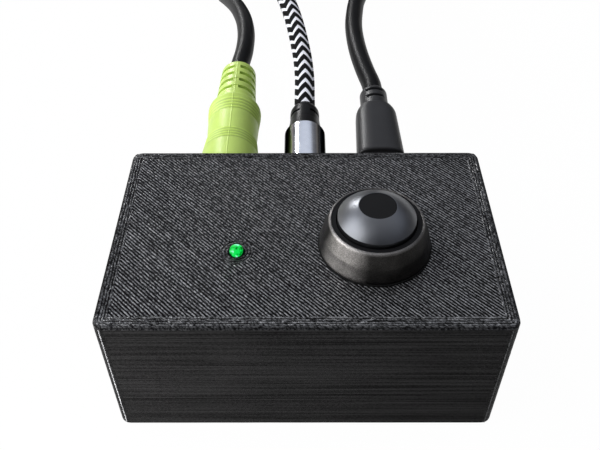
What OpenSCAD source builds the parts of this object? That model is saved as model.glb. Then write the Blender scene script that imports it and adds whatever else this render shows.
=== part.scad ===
// Audio source selector: a printed desk box with a metal push button, a status light,
// two 3.5 mm jacks and a USB port, drawn with its three leads plugged in.
// Millimetres, +Z up, +Y to the rear where the leads leave. Origin: middle of the footprint,
// on the surface that the box stands on.

/* [Box] */
// Width of the box, left to right
box_w = 75; // [72:1:90]
// Depth of the box, front to rear
box_d = 48; // [46:1:60]
// Height of the top face above the table
box_h = 32; // [30:1:40]
// Radius of the upright edges
corner_r = 2; // [0.5:0.1:2.4]
// Chamfer along the top edges
edge_c = 0.4; // [0.2:0.1:0.8]
// Thickness of the side walls
wall_t = 2.4; // [1.8:0.1:3]
// Thickness of the top
top_t = 2.4; // [2:0.1:3]
// Thickness of the base plate
base_t = 2.4; // [2.2:0.1:3.2]
// Radius of a rubber foot
foot_r = 4; // [3:0.1:5]
// How far the feet lift the box off the table
foot_stand = 0.8; // [0.5:0.1:1.5]

/* [Push button] */
// Button centre, right of the middle
button_x = 13.2; // [11:0.1:16]
// Button centre, behind the middle
button_y = -3.9; // [-6:0.1:-2]
// Radius of the bezel where it meets the gasket
bezel_base_r = 10.7; // [10.4:0.1:11.5]
// Radius of the bezel at its rim
bezel_rim_r = 9; // [8.8:0.1:9.6]
// Height of the bezel rim above the top face
bezel_rise = 6.7; // [5:0.1:8]
// Radius of the threaded barrel
barrel_r = 9.5; // [9.2:0.1:10]
// Radius of the moving cap
cap_r = 7.35; // [7:0.05:7.5]
// Height of the cap's top above the top face
cap_rise = 10.25; // [9:0.05:12]
// Radius of the flat on top of the cap
cap_flat_r = 3.6; // [3:0.1:4.5]
// How far the button travels
press_travel = 2; // [1:0.1:2.2]
// Number of turns in the return spring
spring_turns = 5; // [4:1:6]

/* [Status light] */
// Light centre, left of the middle
led_x = -13.25; // [-15:0.05:-12]
// Light centre, behind the middle
led_y = -5.8; // [-7:0.1:-4]
// Radius of the lens
led_r = 1.48; // [1.4:0.01:1.55]

/* [Connectors] */
// Line-out jack, from the middle
out_x = -17.5; // [-19:0.1:-16]
// Line-in jack, from the middle
in_x = 0; // [-1:0.1:0.5]
// USB port, from the middle
usb_x = 17.5; // [17:0.1:18.5]
// Thickness of the circuit board
board_t = 1.6; // [1.2:0.1:1.8]
// Space between the top and the circuit board
board_gap = 1.4; // [1.2:0.1:2]

/* [Lead plugs] */
// Radius of the lime plug at its front grip
lime_r = 6.65; // [6:0.05:7]
// Radius of the chrome plug
chrome_r = 4.88; // [4.5:0.01:5.5]
// Width of the USB plug
usb_w = 11.3; // [11:0.1:12.5]
// Height of the USB plug
usb_h = 7.6; // [7:0.1:8]
// Space between a plug and the rear wall
plug_gap = 0.4; // [0.3:0.1:1]

/* [Leads] */
// Diameter of the two plain cords
cord_d = 5; // [4.4:0.1:5.2]
// Diameter of the braided cord
braid_d = 5.2; // [4.6:0.1:5.3]
// Radius of a coil at its outer turn
coil_r = 32; // [31:0.5:32.5]
// Turns in each layer of a coil
coil_n = 2.25; // [1.25:1:2.25]

/* [Hidden] */
$fn = 64;

// Heights in the box
top_under = box_h - top_t;
base_top = foot_stand + base_t;
board_top = top_under - board_gap;
board_z = board_top - board_t;
rear_y = box_d / 2;

// Fixings
boss_r = 3.4;
m3_r = 1.45;
m2_r = 0.95;
boss_x = box_w / 2 - wall_t - boss_r + 0.3;
boss_y = box_d / 2 - wall_t - boss_r + 0.3;
foot_x = boss_x - foot_r - 3.4;
foot_y = boss_y - foot_r - 2;
foot_sink = 0.8;

// Board layout: the rear parts keep to the jacks, the others to the bosses on their side
jack_d = 15.6;
jack_back = rear_y - jack_d;
front_y = -(boss_y - boss_r - 0.9);
left_x = 0.6 - boss_x;
right_x = boss_x - 4.5;
tongue_x = in_x - 1.5;
relay_w = 5.7;
relay_d = 10.6;
cap_pad = 5.3;
part_gap = 0.4;
relay_x = left_x + (cap_pad + relay_w) / 2 + part_gap;
audio_y = jack_back - 3.8;
led_hole_r = 4.2;
led_len = 5;

// Push button, heights above the table
gasket_t = 0.45;
rim_z = box_h + bezel_rise;
flat_z = box_h + cap_rise;
cap_edge_z = rim_z + 0.8;
well_r = cap_r + 0.25;
ring_r = well_r + 0.95;
ring_t = 0.6;
web_top = box_h - 2;
web_z = web_top - 3;
barrel_z = box_h - 18;
chamber_r = barrel_r - 1.7;
skirt_z = web_top + press_travel + 1.2;
cap_under = box_h + 5.5;
stem_r = 3;
clip_z = web_z - 0.75;
bridge_top = web_z - 2.1;
bridge_t = 0.6;
post_z = bridge_top - bridge_t - press_travel - 0.1;
block_z = post_z - 2.2;
blade_x = 3.5;
spring_wire = 0.7;
spring_r = 4.5;
nut_t = 3;

// The cap's dome is a ball that passes through its edge and the rim of its flat
dome_drop = flat_z - cap_edge_z;
dome_c = (flat_z + cap_edge_z - (cap_r * cap_r - cap_flat_r * cap_flat_r) / dome_drop) / 2;
dome_r = sqrt(cap_r * cap_r + (cap_edge_z - dome_c) * (cap_edge_z - dome_c));

// Connectors
jack_h = 5.2;
jack_z = board_z - jack_h / 2;
nose_r = 2.5;
pin_r = 1.75;
pin_len = 14;
port_h = 3.16;
port_w = 8.94;
usb_z = board_z - port_h / 2;

// Lime plug, distances behind the rear wall
band_1 = 7.75;
band_2 = 19.2;
band_len = 4.85;
waist_r = lime_r - 0.5;
neck_at = 29;
lime_end = 43;
groove_at = [29.6, 32.9, 36.1, 39.2];

// Chrome plug and USB plug, distances behind the rear wall
chrome_end = 16.4;
collar_end = 27;
nose_end = 5.6;
sleeve_end = 24.4;
usb_end = 31.7;

// Coils lie in a pile behind the view, lime lead lowest, braided lead on top
pile_y = 187.5;
tie_t = 0.6;
turn_gap = 0.6;
low_z = 0.9;
cord_step = cord_d + turn_gap;
braid_step = braid_d + turn_gap + 0.3;
mid_z = low_z + cord_d + cord_step + 1.7;
high_z = mid_z + cord_d + cord_step + 1.7;
out_low = low_z + cord_d / 2;
out_high = out_low + cord_step;
usb_low = mid_z + cord_d / 2;
usb_high = usb_low + cord_step;
in_low = high_z + braid_d / 2;
in_high = in_low + braid_step;
in_top = in_high + braid_step;
stub_y = pile_y - cord_d;

// Routes of the free stretches, from each strain relief to its coil
out_route = [[out_x, rear_y + lime_end, jack_z], [out_x, rear_y + 47, jack_z], [-16.75, 78, 24],
  [-16.65, 86, 23.6], [-17.2, 93, 23], [-18.3, 100, 22], [-20, 107.5, 20.6], [-22, 115, 18.6],
  [-24.6, 124, 15.6], [-27.6, 134, 12.2], [-30.2, 145, 9.8], [-31.7, 158, out_high],
  [-coil_r, 170, out_high], [-coil_r, stub_y, out_high]];
in_route = [[in_x, rear_y + collar_end, jack_z], [in_x, rear_y + 32, jack_z], [0, 65, 24.1],
  [-0.5, 74, 24.3], [-1.15, 80, 24.5], [-1.95, 86.5, 24.7], [-2.95, 93, 25], [-4.3, 100, 25.4],
  [-6.2, 107.5, 25.9], [-9.3, 117, 26.6], [-13.9, 128, 27.2], [-19.6, 140, in_low - 0.1],
  [-25.4, 152, in_low], [-30, 164, in_low], [-coil_r, 175, in_low], [-coil_r, stub_y, in_low]];
usb_route = [[usb_x, rear_y + usb_end, usb_z], [usb_x - 0.1, rear_y + 36, usb_z], [16.2, 67, 24.9],
  [15.2, 74, 24.8], [14.65, 80, 24.6], [14.35, 86.5, 24.4], [14.45, 93, 24.1], [15.05, 100, 23.8],
  [16.1, 107.5, 23.4], [18.4, 116, 22.9], [22, 126, 22.4], [26, 137, 21.9],
  [29.4, 149, 21.6], [31.4, 161, usb_high], [coil_r, 172, usb_high], [coil_r, stub_y, usb_high]];
tail_route = [[coil_r, pile_y + cord_d, usb_low], [coil_r, 200, usb_low], [31.4, 212, 15.2],
  [30.4, 221, 14.4], [29.6, 229, 11.6], [29.2, 237, 7.8], [29, 244, 5], [29, 249, 4.2], [29, 254, 4.2]];
out_tail = [[-31.6, 197, out_low + 0.4], [-30.9, 203, 4.8], [-30.7, 209, 6.2], [-30.7, 214, lime_r + 0.05],
  [-30.7, 219, lime_r + 0.05]];

function lerp(a, b, t) = a + (b - a) * t;
function ease(t) = t * t * (3 - 2 * t);
function unit(v) = v / norm(v);
function arc(c, r, a0, a1, n) = [for (i = [0:n]) let (a = lerp(a0, a1, i / n)) c + r * [cos(a), sin(a)]];

// Points of a coil: in along one layer, over to the other in half a turn, and out again
function coil_rad(u, step, n) = coil_r - step * (u < n + 0.25 ? u : 2 * n + 0.5 - u);
function coil_lift(u, n) = ease(min(1, max(0, (u - n) / 0.5)));
function coil_pt(u, a0, dir, z1, z2, step, n) = let (a = a0 + dir * 360 * u, r = coil_rad(u, step, n))
  [r * cos(a), pile_y + r * sin(a), lerp(z1, z2, coil_lift(u, n))];
function coil(a0, dir, z1, z2, step, n) = [for (i = [0:round(48 * n + 12)])
  coil_pt(i / 24, a0, dir, z1, z2, step, n)];

// The braided coil goes a little further, then its last turn climbs on to the pile and runs
// straight into its plug, which lies across the turns
in_n = coil_n + 1 / 12;
top_r = 20;
top_z = in_high + braid_d / 2 + chrome_r + 0.3;
function over(k, k0, k1) = ease(min(1, max(0, (k - k0) / (k1 - k0))));
function top_pt(k) = let (a = 120 - 300 * k, r = lerp(coil_r, top_r, over(k, 0.25, 1)))
  [r * cos(a), pile_y + r * sin(a),
    lerp(in_high, in_top, over(k, 0, 0.28)) + (top_z - in_top) * over(k, 0.6, 1)];
player_end = [-top_r, pile_y + braid_d, top_z];

out_coil = concat([[-coil_r, stub_y, out_high]],
  coil(180, -1, out_high, out_low, cord_step, coil_n), out_tail);
usb_coil_pts = concat([[coil_r, stub_y, usb_high]], coil(0, 1, usb_high, usb_low, cord_step, coil_n),
  [[coil_r, pile_y + cord_d, usb_low]]);
in_coil = concat([[-coil_r, stub_y, in_low]], coil(180, -1, in_low, in_high, braid_step, in_n),
  [for (i = [1:20]) top_pt(i / 20)], [player_end]);

// Least space between a coil's own turns, and each lead's length
function gaps(p, d) = [for (i = [0:len(p) - 1]) for (j = [i + 1:1:len(p) - 1])
  if (j - i > 6) norm(p[i] - p[j]) - d];
function run(p) = len(p) < 2 ? 0 : [for (i = 0, s = 0; i < len(p); s = s + (i < len(p) - 1
  ? norm(p[i + 1] - p[i]) : 0), i = i + 1) s][len(p) - 1];
echo(gap_out = min(gaps(out_coil, cord_d)), gap_usb = min(gaps(usb_coil_pts, cord_d)),
  gap_in = min(gaps(in_coil, braid_d)));
echo(run_out = run(out_route) + run(out_coil), run_in = run(in_route) + run(in_coil),
  run_usb = run(usb_route) + run(usb_coil_pts) + run(tail_route));

// A round tube along points, closed at both ends
module tube(p, r, sides, ref = [0, 0, 1]) {
  n = len(p);
  function way(i) = unit(p[min(i + 1, n - 1)] - p[max(i - 1, 0)]);
  function side(i) = unit(cross(way(i), ref));
  rings = [for (i = [0:n - 1]) for (k = [0:sides - 1])
    p[i] + r * (cos(360 * k / sides) * side(i) + sin(360 * k / sides) * cross(side(i), way(i)))];
  walls = [for (i = [0:n - 2]) for (k = [0:sides - 1]) let (a = i * sides + k,
    b = i * sides + (k + 1) % sides) each [[a, a + sides, b], [b, a + sides, b + sides]]];
  ends = [for (k = [1:sides - 2]) each [[0, k, k + 1], [(n - 1) * sides, (n - 1) * sides + k + 1,
    (n - 1) * sides + k]]];
  polyhedron(concat(rings), concat(walls, ends), convexity = 8);
}

module rounded(w, d, r) {
  square([w - 2 * r, d], center = true);
  square([w, d - 2 * r], center = true);
  for (sx = [-1, 1], sy = [-1, 1]) translate([sx * (w / 2 - r), sy * (d / 2 - r)]) circle(r);
}

module stadium(w, h) {
  square([w - h, h], center = true);
  for (s = [-1, 1]) translate([s * (w - h) / 2, 0]) circle(h / 2);
}

module disc(r, z0, z1) translate([0, 0, z0]) cylinder(r = r, h = z1 - z0);
module ring(ro, ri, z0, z1) difference() {
  disc(ro, z0, z1);
  disc(ri, z0 - 1, z1 + 1);
}
module at_corners(x, y) for (sx = [-1, 1], sy = [-1, 1]) translate([sx * x, sy * y, 0]) children();
module at_button() translate([button_x, button_y, 0]) children();
module at_led() translate([led_x, led_y, 0]) children();

// Local +Z becomes +Y, away from the rear wall
module on_rear(x, z) translate([x, rear_y, z]) rotate([-90, 0, 0]) children();
// A plug at a lead's far end: local +Z runs back along the cord
module at_end(p, len) translate(p) rotate([90, 0, 0]) translate([0, 0, -len]) children();

board_holes = [[left_x, front_y + 3.2], [left_x, jack_back + 2.4], [in_x - 3.9, jack_back - 2.9],
  [right_x - 2.5, rear_y - 10]];
module at_board_holes() for (p = board_holes) translate([p[0], p[1], 0]) children();

// Box

module edge_profile(span) polygon([[-span / 2, 0], [span / 2, 0], [span / 2, box_h - edge_c],
  [span / 2 - edge_c, box_h], [edge_c - span / 2, box_h], [-span / 2, box_h - edge_c]]);

module outer_block() intersection() {
  translate([0, 0, foot_stand]) linear_extrude(box_h - foot_stand) rounded(box_w, box_d, corner_r);
  rotate([90, 0, 0]) linear_extrude(box_d + 2, center = true) edge_profile(box_w);
  rotate([90, 0, 90]) linear_extrude(box_w + 2, center = true) edge_profile(box_d);
}

module upper_shell() color([0.13, 0.13, 0.14]) difference() {
  union() {
    difference() {
      outer_block();
      translate([0, 0, -1]) linear_extrude(top_under + 1)
        rounded(box_w - 2 * wall_t, box_d - 2 * wall_t, 0.6);
    }
    at_corners(boss_x, boss_y) disc(boss_r, base_top, top_under + 0.5);
    at_board_holes() disc(2.4, board_top, top_under + 0.5);
    at_led() disc(3.4, board_top - 1, top_under + 0.5);
  }
  at_corners(boss_x, boss_y) disc(m3_r + 0.05, base_top - 1, base_top + 9);
  at_board_holes() disc(m2_r + 0.05, board_top - 1, board_top + 3);
  at_led() disc(led_r + 0.09, 0, box_h + 1);
  at_led() disc(led_r + 0.55, 0, box_h - led_len + 1.05);
  at_button() disc(barrel_r + 0.12, 0, box_h + 1);
  for (x = [out_x, in_x]) on_rear(x, jack_z) disc(nose_r + 0.12, -wall_t - 1, 1);
  on_rear(usb_x, usb_z) translate([0, 0, -wall_t - 1]) linear_extrude(wall_t + 2)
    stadium(port_w + 0.3, port_h + 0.3);
}

module base_plate() color([0.12, 0.12, 0.13]) difference() {
  translate([0, 0, foot_stand]) linear_extrude(base_t)
    rounded(box_w - 2 * wall_t - 0.3, box_d - 2 * wall_t - 0.3, 0.5);
  at_corners(boss_x, boss_y) disc(m3_r + 0.15, 0, base_top + 1);
  at_corners(boss_x, boss_y) translate([0, 0, foot_stand - 0.01])
    cylinder(r1 = 2.9, r2 = m3_r + 0.1, h = 1.75);
  at_corners(foot_x, foot_y) disc(foot_r + 0.1, 0, foot_stand + foot_sink);
}

module base_screws() color([0.7, 0.7, 0.72]) at_corners(boss_x, boss_y) difference() {
  union() {
    translate([0, 0, foot_stand + 0.05]) cylinder(r1 = 2.75, r2 = m3_r, h = 1.65);
    disc(m3_r, foot_stand + 1.5, base_top + 7);
  }
  for (a = [0, 90]) rotate([0, 0, a]) translate([-1.6, -0.3, 0]) cube([3.2, 0.6, foot_stand + 0.9]);
}

module rubber_feet() color([0.08, 0.08, 0.08]) at_corners(foot_x, foot_y) rotate_extrude()
  polygon([[0, 0], [foot_r - 0.5, 0], [foot_r, 0.5], [foot_r, foot_stand + foot_sink],
    [0, foot_stand + foot_sink]]);

// Push button

module button_gasket() color([0.04, 0.04, 0.04]) at_button()
  ring(bezel_base_r + 0.2, barrel_r + 0.1, box_h, box_h + gasket_t);

module button_bezel() color([0.45, 0.46, 0.48]) at_button() rotate_extrude() polygon(concat(
  [[stem_r + 0.05, web_z], [chamber_r, web_z], [chamber_r, barrel_z], [barrel_r, barrel_z],
    [barrel_r, box_h + gasket_t], [bezel_base_r, box_h + gasket_t],
    [bezel_base_r, box_h + gasket_t + 0.3],
    [lerp(bezel_base_r, bezel_rim_r, 0.42) + 0.08, lerp(box_h + gasket_t, rim_z, 0.5)]],
  arc([bezel_rim_r - 0.4, rim_z - 0.4], 0.4, 10, 90, 6),
  [[ring_r, rim_z], [ring_r, rim_z - ring_t], [well_r, rim_z - ring_t], [well_r, web_top],
    [stem_r + 0.05, web_top]]));

module button_ring() color([0.1, 0.09, 0.08]) at_button()
  ring(ring_r - 0.03, well_r + 0.02, rim_z - ring_t, rim_z - 0.12);

module button_nut() color([0.75, 0.75, 0.76]) at_button() difference() {
  translate([0, 0, top_under - nut_t]) cylinder(r = barrel_r + 2.6, h = nut_t, $fn = 6);
  disc(barrel_r + 0.05, 0, box_h);
}

module button_cap() color([0.72, 0.73, 0.75]) at_button() difference() {
  intersection() {
    translate([0, 0, dome_c]) sphere(dome_r);
    disc(cap_r, skirt_z, flat_z);
  }
  disc(cap_r - 1.3, 0, cap_under);
  disc(cap_flat_r - 0.1, flat_z - 0.5, flat_z + 1);
}

module cap_inlay() color([0.02, 0.02, 0.02]) at_button() disc(cap_flat_r - 0.13, flat_z - 0.5, flat_z - 0.05);

module button_stem() color([0.9, 0.9, 0.88]) at_button() difference() {
  disc(stem_r, bridge_top, cap_under);
  ring(stem_r + 1, stem_r - 0.6, clip_z, clip_z + 0.65);
}

module button_spring() color([0.8, 0.8, 0.82]) at_button() tube([for (i = [0:8 * spring_turns])
  let (t = i / (8 * spring_turns)) [spring_r * cos(45 * i), spring_r * sin(45 * i),
    lerp(web_top + spring_wire / 2 + 0.1, cap_under - spring_wire / 2 - 0.1, t)]], spring_wire / 2, 6);

module stem_clip() color([0.6, 0.6, 0.62]) at_button()
  ring(stem_r + 1.6, stem_r - 0.57, clip_z + 0.03, clip_z + 0.62);

module contact_bridge() color([0.85, 0.7, 0.35]) at_button()
  disc(blade_x + 1.6, bridge_top - bridge_t, bridge_top);

module contact_block() color([0.1, 0.1, 0.1]) at_button() difference() {
  disc(chamber_r - 0.05, barrel_z, block_z);
  for (s = [-1, 1]) translate([s * blade_x - 0.45, -1.45, 0]) cube([0.9, 2.9, box_h]);
}

module button_terminals() color([0.85, 0.82, 0.7]) at_button() for (s = [-1, 1]) difference() {
  translate([s * blade_x - 0.4, -1.4, barrel_z - 4.5]) cube([0.8, 2.8, post_z - barrel_z + 4.5]);
  translate([s * blade_x, 0, barrel_z - 2.6]) rotate([0, 90, 0]) cylinder(r = 0.6, h = 3, center = true);
}

// Status light

module led_lens() color([0.1, 0.9, 0.3]) at_led() {
  disc(led_r + 0.45, box_h - led_len, box_h - led_len + 1);
  disc(led_r, box_h - led_len + 1, box_h);
  intersection() {
    translate([0, 0, box_h]) sphere(led_r);
    disc(led_r, box_h, box_h + led_r);
  }
}

module led_leads() color([0.8, 0.8, 0.8]) at_led() for (s = [-1, 1]) {
  drop = board_z - 1.2;
  reach = led_hole_r + 0.9;
  translate([s * 0.7, 0, drop]) cylinder(r = 0.25, h = box_h - led_len - drop);
  translate([s * 0.7, 0, drop]) sphere(0.25);
  translate([s * 0.7, 0, drop]) rotate([0, s * 90, 0]) cylinder(r = 0.25, h = reach - 0.7);
  translate([s * reach, 0, drop]) sphere(0.25);
  translate([s * reach, 0, drop]) cylinder(r = 0.25, h = board_z - drop);
}

// Circuit board and its parts, which hang under it

module circuit_board() color([0.05, 0.3, 0.15]) difference() {
  translate([0, 0, board_z]) linear_extrude(board_t) polygon([[-boss_x - 2.2, front_y], [tongue_x, front_y],
    [tongue_x, jack_back + 1.6], [right_x, jack_back + 1.6], [right_x, boss_y + 2.4],
    [boss_r + 0.2 - boss_x, boss_y + 2.4], [boss_r + 0.2 - boss_x, -front_y - 0.6],
    [-boss_x - 2.2, -front_y - 0.6]]);
  at_board_holes() disc(m2_r + 0.15, 0, box_h);
  at_led() disc(led_hole_r, 0, box_h);
}

module board_screws() color([0.7, 0.7, 0.72]) at_board_holes() difference() {
  union() {
    disc(1.9, board_z - 1.3, board_z);
    disc(m2_r, board_z - 0.5, board_top + 2.7);
  }
  for (a = [0, 90]) rotate([0, 0, a]) translate([-1, -0.2, board_z - 1.4]) cube([2, 0.4, 0.8]);
}

module jack(x) on_rear(x, jack_z) difference() {
  union() {
    translate([-3.2, -jack_h / 2, -jack_d]) cube([6.4, jack_h, jack_d - 0.1 - wall_t]);
    disc(nose_r, -wall_t - 0.2, -0.15);
  }
  disc(pin_r + 0.05, -14.8, 1);
}
module line_out_jack() color([0.5, 0.75, 0.3]) jack(out_x);
module line_in_jack() color([0.15, 0.15, 0.16]) jack(in_x);

module usb_port_shell() color([0.75, 0.75, 0.77]) on_rear(usb_x, usb_z) difference() {
  translate([0, 0, -7.6]) linear_extrude(7.45) stadium(port_w, port_h);
  translate([0, 0, -7.1]) linear_extrude(8) stadium(port_w - 0.6, port_h - 0.6);
}
module usb_port_tongue() color([0.08, 0.08, 0.08]) on_rear(usb_x, usb_z)
  translate([-3.3, -0.35, -7.1]) cube([6.6, 0.7, 5.1]);

module on_board(x, y, w, d, h) translate([x - w / 2, y - d / 2, board_z - h]) cube([w, d, h]);

module relay() color([0.95, 0.8, 0.2])
  on_board(relay_x, jack_back - 0.5 - relay_d / 2, relay_w, relay_d, 9.2);
module legs(x, y, n, pitch, half) for (i = [0:n - 1], s = [-1, 1])
  on_board(x + (i - (n - 1) / 2) * pitch, y + s * half, pitch * 0.4, 1, 0.5);
module audio_chip() color([0.07, 0.07, 0.07]) {
  on_board(in_x - 11.05, audio_y, 9.2, 4.4, 1.8);
  legs(in_x - 11.05, audio_y, 12, 0.75, 2.6);
}
module controller_chip() color([0.07, 0.07, 0.07]) {
  on_board(tongue_x - 2.6, -2.2, 4.9, 3.8, 1.6);
  legs(tongue_x - 2.6, -2.2, 4, 1.27, 2.3);
}
module capacitors() color([0.2, 0.2, 0.3]) for (k = [-1, 1])
  translate([left_x, k * (cap_pad / 2 + 0.25), board_z - 7.7]) {
    difference() {
      cylinder(r = cap_pad / 2 - 0.1, h = 7.2);
      ring(4, cap_pad / 2 - 0.3, 5.6, 6);
    }
    translate([-cap_pad / 2, -cap_pad / 2, 7.2]) cube([cap_pad, cap_pad, 0.5]);
  }
module crystal() color([0.8, 0.8, 0.8]) translate([usb_x - 9.5, boss_y - 2.9, board_z - 3.4])
  linear_extrude(3.4) rotate([0, 0, 90]) stadium(10.6, 4.4);
module chip_parts() color([0.6, 0.5, 0.4]) {
  for (i = [0:3]) on_board(relay_x - 2 + 3 * i, front_y + 1.25, 2, 1.25, 0.7);
  for (i = [0:1]) on_board(usb_x - 5.95, rear_y - 12.5 + 2.5 * i, 2, 1.25, 0.7);
  for (i = [0:2]) on_board(in_x - 10 + 2.6 * i, rear_y - 11 + 2 * i, 2, 1.25, 0.7);
}
header = [tongue_x - 3.1, front_y + 3];
module button_header() color([0.93, 0.92, 0.88]) difference() {
  on_board(header[0], header[1], 5.9, 4.8, 7);
  translate([header[0] - 2.3, header[1] - 1.7, board_z - 7.5]) cube([4.6, 3.4, 3]);
}
module button_wires() for (s = [-1, 1]) color(s < 0 ? [0.7, 0.1, 0.1] : [0.1, 0.1, 0.1]) {
  a = [header[0] + s, header[1], board_z - 4.5];
  b = [button_x + s * blade_x - 1.1, button_y, barrel_z - 2.6];
  c = a - [0, 0, 16];
  d = b - [4 + 2 * s, 2, 5];
  tube([for (i = [0:12]) let (t = i / 12, q = 1 - t)
    q * q * q * a + 3 * q * q * t * c + 3 * q * t * t * d + t * t * t * b], 0.6, 8, [0, 1, 0]);
}

// Audio plugs

module pin_metal() difference() {
  rotate_extrude() polygon([[0, plug_gap], [pin_r, plug_gap], [pin_r, 2.6 - pin_len],
    [pin_r - 0.5, 2 - pin_len], [pin_r - 0.1, 1.4 - pin_len], [0.5, 0.2 + plug_gap - pin_len],
    [0, 0.2 + plug_gap - pin_len]]);
  for (z = [-5.4, -8.8]) ring(pin_r + 1, pin_r - 0.45, z, z + 0.7);
}
module pin_bands() for (z = [-5.4, -8.8]) ring(pin_r, pin_r - 0.45, z, z + 0.7);

// A band of fine grip ribs between two radii
function ribs(s0, r0, r1) = [for (i = [0:9]) let (t = i / 9)
  [lerp(r0, r1, t) - (i % 2 == 0 ? 0 : 0.3), s0 + band_len * t]];

module lime_body() {
  difference() {
    rotate_extrude() polygon(concat([[0, plug_gap], [lime_r - 0.4, plug_gap], [lime_r, plug_gap + 0.4]],
      ribs(band_1, lime_r, waist_r), [[waist_r - 0.08, 15.9]], ribs(band_2, waist_r + 0.05, lime_r - 0.08),
      arc([lime_r - 2.1, band_2 + band_len + 0.6], 2, 5, 68, 6),
      [[5.2, neck_at - 0.6], [5.05, neck_at], [4.5, lime_end - 0.8], [3.9, lime_end], [0, lime_end]]));
    for (s = groove_at) ring(8, 3.7, s, s + 1.3);
  }
  for (s = groove_at, a = [0, 90, 180, 270]) rotate([0, 0, a]) translate([-0.75, 3.5, s - 0.1])
    cube([1.5, lerp(4.85, 4.45, (s - neck_at) / 14) - 3.5, 1.5]);
}

module chrome_body() rotate_extrude() polygon([[0, plug_gap], [chrome_r - 0.3, plug_gap],
  [chrome_r, plug_gap + 0.3], [chrome_r, chrome_end - 0.5], [chrome_r - 0.5, chrome_end], [0, chrome_end]]);

module collar_body() difference() {
  rotate_extrude() polygon(concat([[0, chrome_end], [4.2, chrome_end], [4.1, chrome_end + 1.2],
    [3.75, 20], [3.6, 22]], arc([1.0, 24.4], 2.6, 0, 75, 6), [[0, collar_end]]));
  for (a = [0, 180]) rotate([0, 0, a]) intersection() {
    ring(6, 3.1, 22.2, 23);
    translate([1.3, -6, 22]) cube([6, 12, 2]);
  }
}

module lime() color([0.7, 0.88, 0.36]) lime_body();
module line_out_plug() on_rear(out_x, jack_z) lime();
module line_out_pin() color([0.85, 0.72, 0.4]) on_rear(out_x, jack_z) pin_metal();
module line_out_bands() color([0.05, 0.05, 0.05]) on_rear(out_x, jack_z) pin_bands();
module line_in_shell() color([0.8, 0.81, 0.83]) on_rear(in_x, jack_z) chrome_body();
module line_in_collar() color([0.06, 0.06, 0.07]) on_rear(in_x, jack_z) collar_body();
module line_in_pin() color([0.85, 0.72, 0.4]) on_rear(in_x, jack_z) pin_metal();
module line_in_bands() color([0.05, 0.05, 0.05]) on_rear(in_x, jack_z) pin_bands();

// USB plug

function usb_half(k) = [[0.34 * usb_w, 0.5 * usb_h], [0.43 * usb_w, 0.45 * usb_h],
  [0.48 * usb_w, 0.34 * usb_h], [0.5 * usb_w, 0.2 * usb_h]] * k;
function usb_outline(k) = let (h = usb_half(k)) concat(h, [for (i = [3:-1:0]) [h[i][0], -h[i][1]]],
  [for (i = [0:3]) [-h[i][0], -h[i][1]]], [for (i = [3:-1:0]) [-h[i][0], h[i][1]]]);
module usb_slice(k, s) translate([0, 0, s]) linear_extrude(0.02) polygon(usb_outline(k));

module relief(s0, s1, r) difference() {
  rotate_extrude() polygon([[0, s0], [r, s0], [r - 0.1, s1 - 1], [r - 0.5, s1], [0, s1]]);
  for (s = [s0 + 2.4, s0 + 5], a = [0, 180]) rotate([0, 0, a]) intersection() {
    ring(r + 2, r - 0.8, s, s + 0.9);
    translate([-2.2, 0, s - 1]) cube([4.4, 8, 3]);
  }
}

module usb_sleeve() color([0.07, 0.07, 0.08]) on_rear(usb_x, usb_z) {
  hull() {
    usb_slice(0.95, nose_end);
    usb_slice(1, nose_end + 0.5);
    usb_slice(0.97, sleeve_end - 3);
  }
  hull() {
    usb_slice(0.97, sleeve_end - 3);
    usb_slice(0.9, sleeve_end - 1);
    usb_slice(0.7, sleeve_end - 0.02);
  }
  relief(sleeve_end, usb_end, 3.7);
}
module usb_nose() color([0.05, 0.05, 0.05]) on_rear(usb_x, usb_z) translate([0, 0, plug_gap])
  linear_extrude(nose_end - plug_gap) rounded(9.6, 5.4, 1.6);
module usb_plug_shell() color([0.78, 0.78, 0.8]) on_rear(usb_x, usb_z) difference() {
  translate([0, 0, -6.2]) linear_extrude(6.2 + plug_gap) stadium(port_w - 0.72, port_h - 0.72);
  translate([0, 0, -7]) linear_extrude(7) stadium(port_w - 1.3, port_h - 1.3);
}

// Leads: the free stretches, the coils, their ties and the plugs at the far ends

module line_out_cord() color([0.05, 0.05, 0.05]) tube(out_route, cord_d / 2, 8);
module line_in_cord() color([0.4, 0.4, 0.4]) tube(in_route, braid_d / 2, 8);
module usb_cord() color([0.06, 0.06, 0.06]) tube(usb_route, cord_d / 2, 8);
module usb_tail() color([0.06, 0.06, 0.06]) tube(tail_route, cord_d / 2, 8);
module line_out_coil() color([0.05, 0.05, 0.05]) tube(out_coil, cord_d / 2, 6);
module usb_coil() color([0.06, 0.06, 0.06]) tube(usb_coil_pts, cord_d / 2, 6);
module line_in_coil() color([0.4, 0.4, 0.4]) tube(in_coil, braid_d / 2, 6);

// A strap round all the turns of a coil, at an angle about the pile
module strap(a, z0, z1, d, step) {
  ri = coil_r - step * (in_n + 0.25) - d / 2 - 0.1;
  ro = coil_r + d / 2 + 0.1;
  translate([0, pile_y, 0]) rotate([0, 0, a]) translate([0, 2.5, 0]) rotate([90, 0, 0]) linear_extrude(5)
    difference() {
      translate([ri - tie_t, z0 - tie_t]) square([ro - ri + 2 * tie_t, z1 - z0 + 2 * tie_t]);
      translate([ri, z0]) square([ro - ri, z1 - z0]);
    }
}
module line_out_tie() color([0.1, 0.1, 0.1])
  strap(-50, low_z - 0.1, low_z + cord_d + cord_step + 0.1, cord_d, cord_step);
module usb_tie() color([0.1, 0.1, 0.1])
  strap(-130, mid_z - 0.1, mid_z + cord_d + cord_step + 0.1, cord_d, cord_step);
module line_in_tie() color([0.1, 0.1, 0.1])
  strap(0, high_z - 0.1, in_top + braid_d / 2 + 0.1, braid_d, braid_step);

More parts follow.
